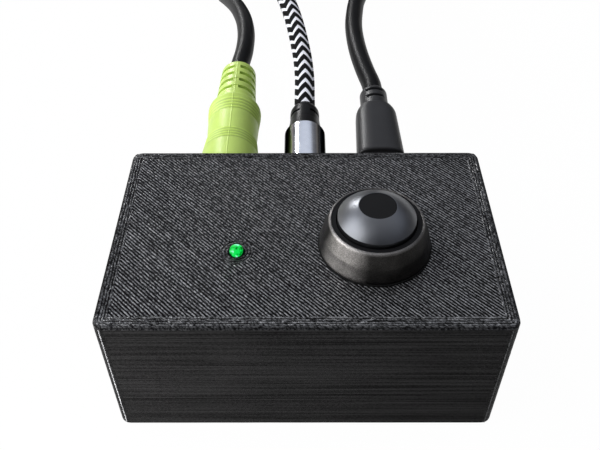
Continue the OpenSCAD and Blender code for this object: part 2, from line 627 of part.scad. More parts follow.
out_end = out_tail[len(out_tail) - 1];
module speaker_plug() at_end(out_end, lime_end) rotate([0, 0, 180]) lime();
module speaker_pin() color([0.85, 0.72, 0.4]) at_end(out_end, lime_end) pin_metal();

module player_shell() color([0.8, 0.81, 0.83]) at_end(player_end, collar_end) chrome_body();
module player_collar() color([0.06, 0.06, 0.07]) at_end(player_end, collar_end) collar_body();
module player_pin() color([0.85, 0.72, 0.4]) at_end(player_end, collar_end) pin_metal();

host_end = tail_route[len(tail_route) - 1];
module at_host() translate(host_end) rotate([-90, 0, 0]) children();
module host_slice(z, w, h) translate([0, 0, z]) linear_extrude(0.02) rounded(w, h, 2, $fn = 24);
module host_sleeve() color([0.07, 0.07, 0.08]) at_host() {
  mirror([0, 0, 1]) translate([0, 0, -8]) relief(-0.5, 8, 3.4);
  hull() {
    host_slice(8, 11, 6.4);
    host_slice(11, 15.4, 7.8);
    host_slice(28, 15.4, 7.8);
    host_slice(29, 14.4, 7);
  }
}
module host_shell() color([0.78, 0.78, 0.8]) at_host() translate([0, 0, 29.02]) difference() {
  linear_extrude(11.9) rounded(12, 4.5, 0.5);
  translate([0, 0, 1]) linear_extrude(12) rounded(11.4, 3.9, 0.3);
  for (x = [-3, 3]) translate([x - 1, -5, 6]) cube([2, 10, 2.2]);
}
module host_tongue() color([0.9, 0.9, 0.9]) at_host() translate([-5.6, -1.9, 30.02]) cube([11.2, 1.8, 10.4]);

upper_shell();
base_plate();
base_screws();
rubber_feet();
button_gasket();
button_bezel();
button_ring();
button_nut();
button_cap();
cap_inlay();
button_stem();
button_spring();
stem_clip();
contact_bridge();
contact_block();
button_terminals();
led_lens();
led_leads();
circuit_board();
board_screws();
line_out_jack();
line_in_jack();
usb_port_shell();
usb_port_tongue();
relay();
audio_chip();
controller_chip();
capacitors();
crystal();
chip_parts();
button_header();
button_wires();
line_out_plug();
line_out_pin();
line_out_bands();
line_out_cord();
line_out_coil();
line_out_tie();
speaker_plug();
speaker_pin();
line_in_shell();
line_in_collar();
line_in_pin();
line_in_bands();
line_in_cord();
line_in_coil();
line_in_tie();
player_shell();
player_collar();
player_pin();
usb_sleeve();
usb_nose();
usb_plug_shell();
usb_cord();
usb_coil();
usb_tail();
usb_tie();
host_sleeve();
host_shell();
host_tongue();
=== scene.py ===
"""Looks, stage and camera of an audio source selector with its three leads plugged in."""

import logging
import math
from collections.abc import Sequence
from dataclasses import dataclass, field, replace
from enum import Enum

import bpy
import numpy as np
from mathutils import Matrix, Vector


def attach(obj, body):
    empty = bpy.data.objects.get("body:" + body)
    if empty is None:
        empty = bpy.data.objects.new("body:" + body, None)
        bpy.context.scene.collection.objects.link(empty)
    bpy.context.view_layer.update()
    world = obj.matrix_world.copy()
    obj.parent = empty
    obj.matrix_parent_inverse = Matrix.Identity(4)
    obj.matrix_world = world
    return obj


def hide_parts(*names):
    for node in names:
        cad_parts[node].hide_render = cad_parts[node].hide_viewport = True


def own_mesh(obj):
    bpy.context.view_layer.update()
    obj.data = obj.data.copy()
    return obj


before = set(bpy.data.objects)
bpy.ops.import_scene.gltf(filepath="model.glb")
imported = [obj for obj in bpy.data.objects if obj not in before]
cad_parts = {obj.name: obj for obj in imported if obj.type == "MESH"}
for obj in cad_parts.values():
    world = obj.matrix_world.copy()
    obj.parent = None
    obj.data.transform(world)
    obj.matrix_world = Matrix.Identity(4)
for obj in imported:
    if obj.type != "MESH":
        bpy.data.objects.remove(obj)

LOG = logging.getLogger("selector")
MM = 0.001
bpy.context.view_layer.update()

Array = np.ndarray
Socket = bpy.types.NodeSocket
Pair = tuple[float, float]
Point = tuple[float, float, float]
Colour = tuple[float, float, float]
Span = tuple[float, float, float, float]
Value = float | Sequence[float] | Socket


class Body(Enum):
    """The rigid bodies that pieces ride on."""

    BOX = "box"
    BUTTON = "button"
    LINE_OUT = "line_out_lead"
    LINE_IN = "line_in_lead"
    USB = "usb_lead"


class Nodes:
    """Adds shader nodes to one tree and links them."""

    def __init__(self, tree: bpy.types.NodeTree) -> None:
        """Work on the tree of a material or a world."""
        self.tree = tree
        self.coords = tree.nodes.new("ShaderNodeTexCoord")

    def feed(self, node: bpy.types.Node, socket: str | int, value: Value) -> None:
        """Set or link one input.

        Args:
            node: The node that has the input.
            socket: The input's name or index.
            value: A constant, or the output that feeds it.
        """
        if isinstance(value, Socket):
            self.tree.links.new(value, node.inputs[socket])
        else:
            node.inputs[socket].default_value = value

    def add(self, kind: str, inputs: dict[str | int, Value], **settings: object) -> bpy.types.Node:
        """Add a node.

        Args:
            kind: The node's type, without its ShaderNode prefix.
            inputs: Values or sources for its inputs.
            **settings: Properties set before the inputs.

        Returns:
            The new node.
        """
        node = self.tree.nodes.new("ShaderNode" + kind)
        for key, value in settings.items():
            setattr(node, key, value)
        for key, value in inputs.items():
            self.feed(node, key, value)
        return node

    def math(self, operation: str, a: Value, b: Value = 0.0) -> Socket:
        """The result of one arithmetic step on a and b."""
        return self.add("Math", {0: a, 1: b}, operation=operation).outputs[0]

    def between(self, source: Socket, *span: Value, easing: str = "LINEAR") -> Socket:
        """Map one stretch of values to another, held at both ends.

        Args:
            source: The value.
            *span: Start and end of the stretch, then the result at each.
            easing: The way from one end to the other.

        Returns:
            The mapped value output.
        """
        ends = zip(("From Min", "From Max", "To Min", "To Max"), span, strict=True)
        return self.add("MapRange", {"Value": source, **dict(ends)}, interpolation_type=easing).outputs[0]

    def ramp(self, source: Socket, *stops: tuple[float, Colour]) -> Socket:
        """Colour that runs through stops as the source grows.

        Args:
            source: The value that drives the ramp.
            *stops: Places from 0 to 1, each with its colour.

        Returns:
            The colour output.
        """
        node = self.add("ValToRGB", {0: source})
        elements = node.color_ramp.elements
        elements.remove(elements[1])
        for place, tone in stops:
            elements.new(place).color = (*tone, 1.0)
        elements.remove(elements[0])
        return node.outputs[0]


class Graph(Nodes):
    """Builds one node material around its Principled shader."""

    def __init__(self, name: str) -> None:
        """Start an empty material.

        Args:
            name: The material's name.
        """
        self.material = bpy.data.materials.new(name)
        self.material.use_nodes = True
        super().__init__(self.material.node_tree)
        self.shader = self.tree.nodes["Principled BSDF"]
        self.spot = self.coords.outputs["Object"]

    def set(self, **inputs: Value) -> None:
        """Set inputs of the shader, with underscores for the spaces in their names."""
        for key, value in inputs.items():
            self.feed(self.shader, key.replace("_", " "), value)

    def source(self, name: str) -> Socket:
        """The output that feeds one of the shader's inputs."""
        return self.shader.inputs[name].links[0].from_socket

    def mapped(self, vector: Socket, kind: str = "POINT", **inputs: Value) -> Socket:
        """A vector that is moved, turned or scaled."""
        return self.add("Mapping", {"Vector": vector, **inputs}, vector_type=kind).outputs[0]

    def flat(self, vector: Socket) -> Socket:
        """A vector with its height left out."""
        return self.mapped(vector, Scale=(1.0, 1.0, 0.0))

    def about(self, centre: Point) -> Socket:
        """Level coordinates about an upright axis through a centre."""
        return self.flat(self.mapped(self.spot, Location=tuple(-c for c in centre)))

    def length(self, vector: Socket) -> Socket:
        """The length of a vector."""
        return self.add("VectorMath", {0: vector}, operation="LENGTH").outputs[1]

    def axis(self, index: int) -> Socket:
        """The object's x, y or z coordinate in metres, by index."""
        return self.add("SeparateXYZ", {0: self.spot}).outputs[index]

    def beside(self, place: float) -> Socket:
        """Distance to either side of a place along x."""
        return self.math("ABSOLUTE", self.math("SUBTRACT", self.axis(0), place))

    def noise(self, scale: float, detail: float, vector: Socket | None = None) -> Socket:
        """Noise with scale cells to a metre, over the object's coordinates or a given vector."""
        inputs = {"Vector": vector or self.spot, "Scale": scale, "Detail": detail}
        return self.add("TexNoise", inputs).outputs[0]

    def mixed(self, share: Value, a: Socket, b: Value, blend: str = "MIX") -> Socket:
        """Colour a with a share of colour b blended in."""
        return self.add("Mix", {0: share, 6: a, 7: b}, data_type="RGBA", blend_type=blend).outputs[2]

    def tinted(self, colour: Socket, factor: Socket) -> Socket:
        """A colour made lighter or darker by a factor."""
        return self.mixed(1.0, colour, factor, "MULTIPLY")

    def bump(self, height: Socket, strength: float, rise_mm: float, under: Socket | None = None) -> Socket:
        """Tilt the surface normal by a height.

        Args:
            height: The height value.
            strength: Share of the effect.
            rise_mm: Height of the relief.
            under: A normal to build on.

        Returns:
            The normal output.
        """
        inputs: dict[str | int, Value] = {"Height": height, "Strength": strength, "Distance": rise_mm * MM}
        if under is not None:
            inputs["Normal"] = under
        return self.add("Bump", inputs).outputs[0]


@dataclass(frozen=True)
class Finish:
    """A moulded or plain surface with fine grain; other finishes extend it. Cells are to a metre."""

    name: str
    colour: Colour
    roughness: float = 0.5
    metallic: float = 0.0
    specular: float = 0.5
    grain_mm: float = 0.4
    grain_height: float = 0.02
    mottle: float = 0.12
    edge_mm: float = 0.0
    cloud_cells: float = 140.0

    def material(self) -> bpy.types.Material:
        """Make the material.

        Returns:
            The finished material.
        """
        graph = Graph(self.name)
        self.paint(graph)
        return graph.material

    def shade(self, factor: float) -> Colour:
        """The finish's colour made lighter or darker by a factor."""
        red, green, blue = (min(1.0, c * factor) for c in self.colour)
        return red, green, blue

    def mottled(self, graph: Graph, source: Socket, low: float, high: float) -> Socket:
        """Colour that goes from dark to pale by the mottle as the source goes from low to high."""
        return graph.ramp(source, (low, self.shade(1 - self.mottle)), (high, self.shade(1 + self.mottle)))

    def uneven(self, graph: Graph, source: Socket, below: float, above: float) -> Socket:
        """Roughness that goes a little below and above the finish's own."""
        return graph.between(source, 0.0, 1.0, self.roughness - below, self.roughness + above)

    def grained(self, graph: Graph, detail: float) -> Socket:
        """Noise as fine as the finish's grain."""
        return graph.noise(1.0 / (self.grain_mm * MM), detail)

    def softened(self, graph: Graph) -> Socket | None:
        """A normal that rounds the edges of the piece, or None where edges stay sharp."""
        bevel = {"Radius": self.edge_mm * MM}
        return graph.add("Bevel", bevel, samples=6).outputs[0] if self.edge_mm > 0 else None

    def paint(self, graph: Graph) -> None:
        """Fill the graph with mottled colour, uneven gloss and fine grain.

        Args:
            graph: The material's graph.
        """
        cloud, grain = graph.noise(self.cloud_cells, 4.0), self.grained(graph, 2.0)
        graph.set(
            Base_Color=self.mottled(graph, cloud, 0.3, 0.7),
            Roughness=self.uneven(graph, grain, 0.08, 0.08),
            Normal=graph.bump(grain, 0.5, self.grain_height, self.softened(graph)),
            Metallic=self.metallic,
            Specular_IOR_Level=self.specular,
        )


@dataclass(frozen=True)
class PrintFinish(Finish):
    """Satin filament: streaks and small glints; beads read their UV map (place across, tone)."""

    streak: Point = (1.0, 1.0, 1.0)
    speck: Point = (3.2, 1.0, 1.0)
    beaded: bool = False
    glint: float = 0.16
    grit: float = 0.1
    cloudy: float = 0.1
    cloud_cells: float = 90.0
    streak_cells: float = 900.0
    speck_cells: float = 3000.0

    def paint(self, graph: Graph) -> None:
        """Fill the graph with filament plastic.

        Args:
            graph: The material's graph.
        """
        streaks = graph.noise(self.streak_cells, 3.0, graph.mapped(graph.spot, Scale=self.streak))
        slanted = graph.mapped(graph.spot, "TEXTURE", Rotation=(0, 0, -math.pi / 4), Scale=self.speck)
        speck = graph.noise(self.speck_cells, 2.0, slanted)
        cloud = graph.noise(self.cloud_cells, 3.0)
        mix = graph.math("MULTIPLY", streaks, 1.0 - self.cloudy - self.grit)
        for part, share in ((cloud, self.cloudy), (speck, self.grit)):
            mix = graph.math("ADD", mix, graph.math("MULTIPLY", part, share))
        low, high = self.grit * 0.2 + 0.33, 0.70 - self.grit * 0.2
        colour = self.mottled(graph, mix, low, high)
        if self.beaded:
            across, tone, _ = graph.add("SeparateXYZ", {0: graph.coords.outputs["UV"]}).outputs
            # Painted shade darkens each bead towards its edges, in the grooves between beads; the UV tone is
            # partly random and partly painted light along the front.
            away = graph.math("ABSOLUTE", across)
            groove_shade = graph.math("MULTIPLY", graph.between(away, 0.05, 0.63, 1.0, 0.01), tone)
            # Speck noise flecks the colour: random tone and painted sparkle.
            grit = graph.between(speck, 0.36, 0.64, 0.55, 1.45)
            colour = graph.tinted(colour, graph.math("MULTIPLY", groove_shade, grit))
            shine = graph.math("MULTIPLY", groove_shade, graph.between(speck, 0.38, 0.62, 0.15, 2.5))
        else:
            shine = graph.between(mix, low, high, 0.3, 2.0)
        dull, bright = self.roughness + self.glint, self.roughness - self.glint
        graph.set(
            Base_Color=colour,
            Roughness=graph.between(speck, 0.4, 0.6, bright, dull),
            Normal=graph.bump(streaks, 0.5, self.grain_height, graph.bump(speck, 0.8, self.grain_height)),
            Specular_IOR_Level=graph.math("MULTIPLY", shine, self.specular),
        )


@dataclass(frozen=True)
class SeamFinish(Finish):
    """Moulded plastic with the faint line where the two halves of the mould met."""

    seam: float = 0.0
    bands: tuple[float, ...] = ()
    band_len: float = 0.0
    ridges: float = 4.5

    def paint(self, graph: Graph) -> None:
        """Fill the graph with moulded plastic, draw the seam, and paint shade into the grooves and highlights
        onto the crests of the grip bands.

        Args:
            graph: The material's graph.
        """
        super().paint(graph)
        line = graph.between(graph.beside(self.seam), 0.05 * MM, 0.2 * MM, 1.0, 0.0)
        faint = graph.math("MULTIPLY", line, 0.35)
        colour = graph.mixed(faint, graph.source("Base Color"), (*self.shade(1.3), 1.0))
        # Painted highlight and shade along the grip ribs: crests lighter, grooves darker.
        for start in self.bands:
            place = graph.math("DIVIDE", graph.math("SUBTRACT", graph.axis(1), start), self.band_len)
            inside = graph.add("Math", {0: place, 1: 0.5, 2: 0.5}, operation="COMPARE").outputs[0]
            dip = graph.math("PINGPONG", graph.math("MULTIPLY", place, 2 * self.ridges), 1.0)
            change = graph.math("MULTIPLY", inside, graph.between(dip, 0.0, 1.0, 0.28, -0.32))
            colour = graph.tinted(colour, graph.math("ADD", change, 1.0))
        graph.set(Base_Color=colour, Normal=graph.bump(line, 0.8, 0.08, graph.source("Normal")))


@dataclass(frozen=True)
class BlastedMetal(Finish):
    """Dark metal with a bead-blasted, blotchy skin; its rim and one side carry painted highlights, the rest
    painted shade.
    """

    # Painted light by height: the tint at the foot and foot_rise above it.
    foot_z: float = 0.0325
    foot_rise: float = 3.0 * MM
    foot_tint: Pair = (1.7, 1.1)
    rim_z: float = 0.0
    rim_depth: float = 0.6 * MM
    # Painted highlight and shade: tint spans for the rim and the wall, and the side that is painted lit.
    rim_highlight_tint: Span = (-0.2, 0.9, 0.8, 2.1)
    centre: Point = (0.0, 0.0, 0.0)
    highlight_side: Point = (-0.695, -0.719, 0.0)
    side_highlight_tint: Span = (0.82, 1.0, 0.18, 2.1)
    cloud_cells: float = 420.0

    def paint(self, graph: Graph) -> None:
        """Fill the graph with blasted metal.

        Args:
            graph: The material's graph.
        """
        pits, blotch = self.grained(graph, 4.0), graph.noise(self.cloud_cells, 5.0)
        colour = graph.ramp(blotch, (0.34, self.shade(0.78)), (0.68, self.shade(1.2)))
        # Painted highlight and shade: the wall is tinted lighter on the lit side and darker elsewhere, as
        # light from there would fall.
        around = graph.add("VectorMath", {0: graph.about(self.centre)}, operation="NORMALIZE").outputs[0]
        toward = graph.add("VectorMath", {0: around, 1: self.highlight_side}, operation="DOT_PRODUCT").outputs[1]
        side = graph.between(toward, *self.side_highlight_tint, easing="SMOOTHSTEP")
        rim = graph.between(toward, *self.rim_highlight_tint)
        height = graph.axis(2)
        for tint in (
            graph.between(pits, 0.36, 0.64, 0.62, 1.38),
            # Painted highlight along the rim, brightest on the lit side.
            graph.between(height, self.rim_z - self.rim_depth, self.rim_z, side, rim),
            # Painted light by height: lighter at the foot, fading upward over foot_rise.
            graph.between(height, self.foot_z, self.foot_z + self.foot_rise, *self.foot_tint),
        ):
            colour = graph.tinted(colour, tint)
        graph.set(
            Base_Color=colour,
            Roughness=self.uneven(graph, pits, 0.1, 0.12),
            Normal=graph.bump(pits, 0.55, self.grain_height, self.softened(graph)),
            Metallic=self.metallic,
        )


@dataclass(frozen=True)
class TurnedMetal(Finish):
    """Metal turned on a lathe, with fine rings; its flanks may carry a painted dark reflection."""

    centre: Point = (0.0, 0.0, 0.0)
    rings_per_mm: float = 6.0
    flank: Pair | None = None
    flank_tint: float = 0.14
    cloud_cells: float = 300.0

    def paint(self, graph: Graph) -> None:
        """Fill the graph with turned metal.

        Args:
            graph: The material's graph.
        """
        rings = {"W": graph.length(graph.about(self.centre)), "Scale": self.rings_per_mm / MM, "Detail": 2.0}
        lines = graph.add("TexNoise", rings, noise_dimensions="1D").outputs[0]
        smudge = graph.noise(self.cloud_cells, 4.0)
        colour = graph.ramp(smudge, (0.3, self.shade(0.93)), (0.7, self.shade(1.05)))
        # Painted reflection: the flanks to either side of the axis are darkened, in colour and in their edge
        # tint, as a dark surround would show in them.
        if self.flank:
            away = graph.beside(self.centre[0])
            dark = graph.between(away, *self.flank, 1.0, self.flank_tint, easing="SMOOTHSTEP")
            colour = graph.tinted(colour, dark)
            graph.set(Specular_Tint=(*[self.flank_tint] * 3, 1.0))
        graph.set(
            Base_Color=colour,
            Roughness=self.uneven(graph, smudge, 0.06, 0.1),
            Normal=graph.bump(lines, 0.25, self.grain_height),
            Metallic=self.metallic,
        )


@dataclass(frozen=True)
class BraidFinish(Finish):
    """Two-colour woven sleeve; reads the tube's own UV map (turns, millimetres along)."""

    pale: Colour = (0.8, 0.8, 0.82)
    period_mm: float = 4.33
    chevrons: int = 4
    rise: float = 0.62
    phase: float = -0.03
    yarns: float = 12.0
    plies: float = 16.0

    def paint(self, graph: Graph) -> None:
        """Fill the graph with chevrons of yarn.

        Args:
            graph: The material's graph.
        """
        turn, along, _ = graph.add("SeparateXYZ", {0: graph.coords.outputs["UV"]}).outputs
        shifted = graph.math("ADD", turn, self.phase)
        zig = graph.math("PINGPONG", graph.math("MULTIPLY", shifted, 2.0 * self.chevrons), 1.0)
        lift = graph.math("MULTIPLY", zig, self.rise)
        wave = graph.math("FRACT", graph.math("ADD", graph.math("DIVIDE", along, self.period_mm), lift))
        reach = graph.math("ADD", wave, graph.math("MULTIPLY", zig, 0.08))
        band = graph.ramp(reach, (0.39, self.pale), (0.43, self.colour))
        yarn = graph.math("PINGPONG", graph.math("MULTIPLY", wave, self.yarns), 1.0)
        ply = graph.math("PINGPONG", graph.math("MULTIPLY", turn, self.plies * self.chevrons), 1.0)
        # Painted shade: the colour darkens in the grooves between yarns.
        groove = graph.math("SUBTRACT", 1.0, graph.math("POWER", graph.math("SUBTRACT", 1.0, yarn), 3.0))
        relief = graph.math("ADD", groove, graph.math("MULTIPLY", ply, 0.3))
        graph.set(
            Base_Color=graph.tinted(band, graph.between(groove, 0.0, 1.0, 0.72, 1.0)),
            Roughness=self.roughness,
            Normal=graph.bump(relief, 0.6, 0.12),
            Specular_IOR_Level=self.specular,
        )


@dataclass(frozen=True)
class GlowFinish(Finish):
    """Lit tinted lens with the pale chip and its darker cup showing inside."""

    centre: Point = (0.0, 0.0, 0.0)
    tilt: float = math.pi / 4
    lit_mm: float = 1.26
    strength: float = 1.0
    cup: Colour = (0.0, 0.16, 0.005)
    chip: Colour = (0.35, 1.0, 0.75)
    cloud_cells: float = 1250.0

    def paint(self, graph: Graph) -> None:
        """Fill the graph with a lit lens.

        Args:
            graph: The material's graph.
        """
        local = graph.mapped(graph.spot, "TEXTURE", Location=self.centre, Rotation=(self.tilt, 0, 0))
        radius = graph.length(graph.flat(local))
        rim = graph.between(radius, self.lit_mm * 0.95 * MM, self.lit_mm * 1.05 * MM, 1.0, 0.0)
        stops = ((0.33, self.cup), (0.43, self.colour), (0.56, self.colour), (0.66, self.chip))
        graph.set(
            Base_Color=(0.0, 0.01, 0.004, 1.0),
            Emission_Color=graph.ramp(graph.noise(self.cloud_cells, 1.0, local), *stops),
            Emission_Strength=graph.math("MULTIPLY", rim, self.strength),
            Roughness=self.roughness,
            Specular_IOR_Level=self.specular,
        )


BUTTON_CENTRE = (0.0132, -0.0039, 0.0)

# The print finishes are one black filament: their colours differ as painted light and shade, the top lighter,
# the walls, rim and rounded corners darker.
PRINT_TOP = PrintFinish("print_top", (0.084, 0.084, 0.086), 0.27, mottle=0.25, grain_height=0.11,
                        specular=1.5, beaded=True, glint=0.08, speck=(1.5, 0.8, 1.0))
PRINT_WALL = PrintFinish("print_wall", (0.0138, 0.0135, 0.0135), 0.46, mottle=0.53, grain_height=0.03,
                         specular=0.01, streak=(0.03, 0.03, 3.4), grit=0.34)
PRINT_EDGE = PrintFinish("print_edge", (0.006, 0.006, 0.006), 0.3, mottle=0.4, grain_height=0.02,
                         specular=0.03, glint=0.04, streak=(0.03, 0.03, 4.0))
PRINT_RIM = PrintFinish("print_rim", (0.020, 0.020, 0.021), 0.3, mottle=0.5, grain_height=0.10,
                        specular=0.7, beaded=True, glint=0.1)
# Pale colour of the corner ridges: a painted highlight on black filament.
PRINT_RIDGE_HIGHLIGHT = PrintFinish("print_ridge", (0.25, 0.25, 0.254), 0.4, mottle=0.4, grain_height=0.05,
                          specular=0.4, beaded=True)
# The bezel's highlights on its rim and left front, and its darker right and rear, are painted light and
# shade.
BEZEL = BlastedMetal("bezel_metal", (0.140, 0.134, 0.129), 0.38, metallic=0.95, grain_mm=0.16,
                     grain_height=0.05, edge_mm=0.8, rim_z=0.0387, centre=BUTTON_CENTRE)
CAP = TurnedMetal("cap_metal", (0.142, 0.147, 0.158), 0.36, metallic=1.0, centre=BUTTON_CENTRE)
DARK = Finish("dark_trim", (0.007, 0.007, 0.0075), 0.5, specular=0.09, grain_mm=0.3, grain_height=0.01)
RUBBER = Finish("soft_rubber", (0.006, 0.006, 0.006), 0.75, specular=0.15)
LIME = SeamFinish("lime_plastic", (0.455, 0.615, 0.122), 0.42, grain_mm=0.35, grain_height=0.05, mottle=0.1,
                  seam=-0.0175, bands=(0.03175, 0.0432), band_len=0.00485)
CHROME = TurnedMetal("chrome_shell", (0.90, 0.92, 0.97), 0.1, metallic=1.0, rings_per_mm=3.0,
                     grain_height=0.004)
# The chrome plug's flanks carry a painted dark reflection.
CHROME_PLUG = replace(CHROME, name="chrome_plug", flank=(0.0028, 0.0038))
STEEL = Finish("zinc_steel", (0.62, 0.62, 0.64), 0.32, metallic=1.0, grain_mm=0.2, grain_height=0.01)
GOLD = Finish("gold_contact", (0.80, 0.60, 0.28), 0.26, metallic=1.0, grain_mm=0.3, grain_height=0.006)
PLUG_BLACK = Finish("plug_black", (0.012, 0.012, 0.013), 0.44, specular=0.36, grain_mm=0.18,
                    grain_height=0.02, mottle=0.2, edge_mm=0.5)
COLLAR = Finish("collar_black", (0.006, 0.006, 0.0065), 0.36, specular=0.11, grain_mm=0.18, grain_height=0.02)
JACKET = Finish("black_cord", (0.004, 0.004, 0.0044), 0.42, specular=0.08, grain_mm=0.3, grain_height=0.012,
                mottle=0.2)
BRAID = BraidFinish("braid", (0.006, 0.006, 0.0065), 0.72, specular=0.04, pale=(0.86, 0.86, 0.90))
GLOW = GlowFinish("green_lens", (0.003, 0.78, 0.09), 0.3, specular=0.12, centre=(-0.01325, -0.0056, 0.0322))
STRAP = Finish("tie_strap", (0.02, 0.02, 0.021), 0.85, grain_mm=0.25, grain_height=0.12, mottle=0.3)
WHITE = Finish("white_plastic", (0.78, 0.77, 0.72), 0.45)
MASK = Finish("board_green", (0.02, 0.16, 0.06), 0.3, grain_mm=0.8, grain_height=0.02, mottle=0.25)
BLACK = Finish("black_plastic", (0.02, 0.02, 0.02), 0.5)
RELAY = Finish("relay_yellow", (0.75, 0.5, 0.05), 0.35)
CAN = Finish("capacitor_sleeve", (0.45, 0.46, 0.48), 0.35, metallic=0.9)
TAN = Finish("chip_tan", (0.4, 0.3, 0.2), 0.5)
WIRE = Finish("wire_sleeve", (0.45, 0.02, 0.02), 0.45)


def placed(name: str, data: bpy.types.ID) -> bpy.types.Object:
    """Put a new object into the scene.

    Args:
        name: The object's name.
        data: Its mesh, lamp or camera.

    Returns:
        The new object.
    """
    obj = bpy.data.objects.new(name, data)
    bpy.context.scene.collection.objects.link(obj)
    return obj


class Wardrobe:
    """Makes each finish once and puts it on pieces and CAD nodes."""

    def __init__(self) -> None:
        """Start with no materials made."""
        self.made: dict[str, bpy.types.Material] = {}

    def material(self, finish: Finish) -> bpy.types.Material:
        """The material of a finish.

        Args:
            finish: The finish.

        Returns:
            Its material, made on first use.
        """
        if finish.name not in self.made:
            self.made[finish.name] = finish.material()
        return self.made[finish.name]

    def dress(self, outfits: dict[Finish, str]) -> None:
        """Put finishes on CAD nodes.

        Args:
            outfits: Names of nodes, with spaces between them, by finish.
        """
        for finish, names in outfits.items():
            for name in names.split():
                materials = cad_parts[name].data.materials
                materials.clear()
                materials.append(self.material(finish))
                LOG.info("%s: %s", name, finish.name)


@dataclass
class MeshData:
    """Points, faces and UVs gathered for one mesh object."""

    points: list[Array] = field(default_factory=list)
    faces: list[Array] = field(default_factory=list)
    uvs: list[Array] = field(default_factory=list)
    count: int = 0

    def grid(
        self, points: Array, wrap: bool = False, keep: Array | None = None, uv: Array | None = None
    ) -> None:
        """Add a grid of quads.

        Args:
            points: Array of rows, columns and three coordinates, in millimetres.
            wrap: Whether the columns close into a ring.
            keep: Which quads to keep, by row and column.
            uv: Array of rows, columns and two coordinates.
        """
        rows, cols = points.shape[:2]
        ids = np.arange(rows * cols).reshape(rows, cols) + self.count
        nxt = np.roll(ids, -1, axis=1) if wrap else ids[:, 1:]
        cur = ids if wrap else ids[:, :-1]
        quads = np.stack([cur[:-1], nxt[:-1], nxt[1:], cur[1:]], axis=-1)
        chosen = quads[keep] if keep is not None else quads.reshape(-1, 4)
        self.faces.append(chosen)
        if uv is not None:
            self.uvs.append(uv.reshape(-1, 2)[(chosen - self.count).ravel()])
        self.points.append(points.reshape(-1, 3))
        self.count += rows * cols

    def build(self, name: str, material: bpy.types.Material, body: Body, slot: str) -> bpy.types.Object:
        """Make the object and let it ride on a body.

        Args:
            name: The object's name.
            material: Its material.
            body: The body that it rides on.
            slot: Not used.

        Returns:
            The new object.
        """
        mesh = bpy.data.meshes.new(name)
        faces = np.concatenate(self.faces)
        used, faces = np.unique(faces, return_inverse=True)
        points = np.concatenate(self.points)[used] * MM
        faces = faces.reshape(-1, 4)
        mesh.from_pydata(points.tolist(), [], faces.tolist())
        if self.uvs:
            layer = mesh.uv_layers.new(name="UVMap")
            layer.data.foreach_set("uv", np.concatenate(self.uvs).astype(np.float32).ravel())
        mesh.materials.append(material)
        mesh.shade_smooth()
        mesh.update()
        obj = placed(name, mesh)
        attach(obj, body.value)
        LOG.info("%s: %s on %s", name, material.name, body.value)
        return obj


def beside(path: Array, side: Array, shift: Array, height: Array) -> Array:
    """Rows of points across a path.

    Args:
        path: Points of its middle, x and y.
        side: Direction across it at each point.
        shift: Distances across it, by point and column.
        height: Heights, by point and column.

    Returns:
        Array of points, columns and three coordinates.
    """
    spots = path[:, None] + side[:, None] * shift[..., None]
    return np.concatenate([spots, height[..., None]], axis=-1)


def swept(line: Array, diameter: float, sides: int) -> Array:
    """Rings of points round a line.

    Args:
        line: Points of the line, which never runs straight up.
        diameter: Diameter of the rings.
        sides: Points in a ring.

    Returns:
        Array of rings, points and three coordinates.
    """
    ahead = np.gradient(line, axis=0)
    ahead /= np.linalg.norm(ahead, axis=1)[:, None]
    side = np.cross(ahead, [0.0, 0.0, 1.0])
    side /= np.linalg.norm(side, axis=1)[:, None]
    up = np.cross(side, ahead)
    turn = np.linspace(0, 2 * math.pi, sides, endpoint=False)
    ring = np.cos(turn)[None, :, None] * side[:, None] + np.sin(turn)[None, :, None] * up[:, None]
    return line[:, None] + diameter / 2 * ring


@dataclass(frozen=True)
class Laying:
    """How evenly a line of plastic is laid, in millimetres, and how its tone is shared out."""

    closed: bool
    lumps: float
    sway: float
    place: float = 1.0
    tone: float = 1.0
    speckle: float = 0.0


LOOP = Laying(True, 0.034, 0.05, place=0.6, tone=0.68, speckle=0.27)
FILL = Laying(False, 0.018, 0.016)


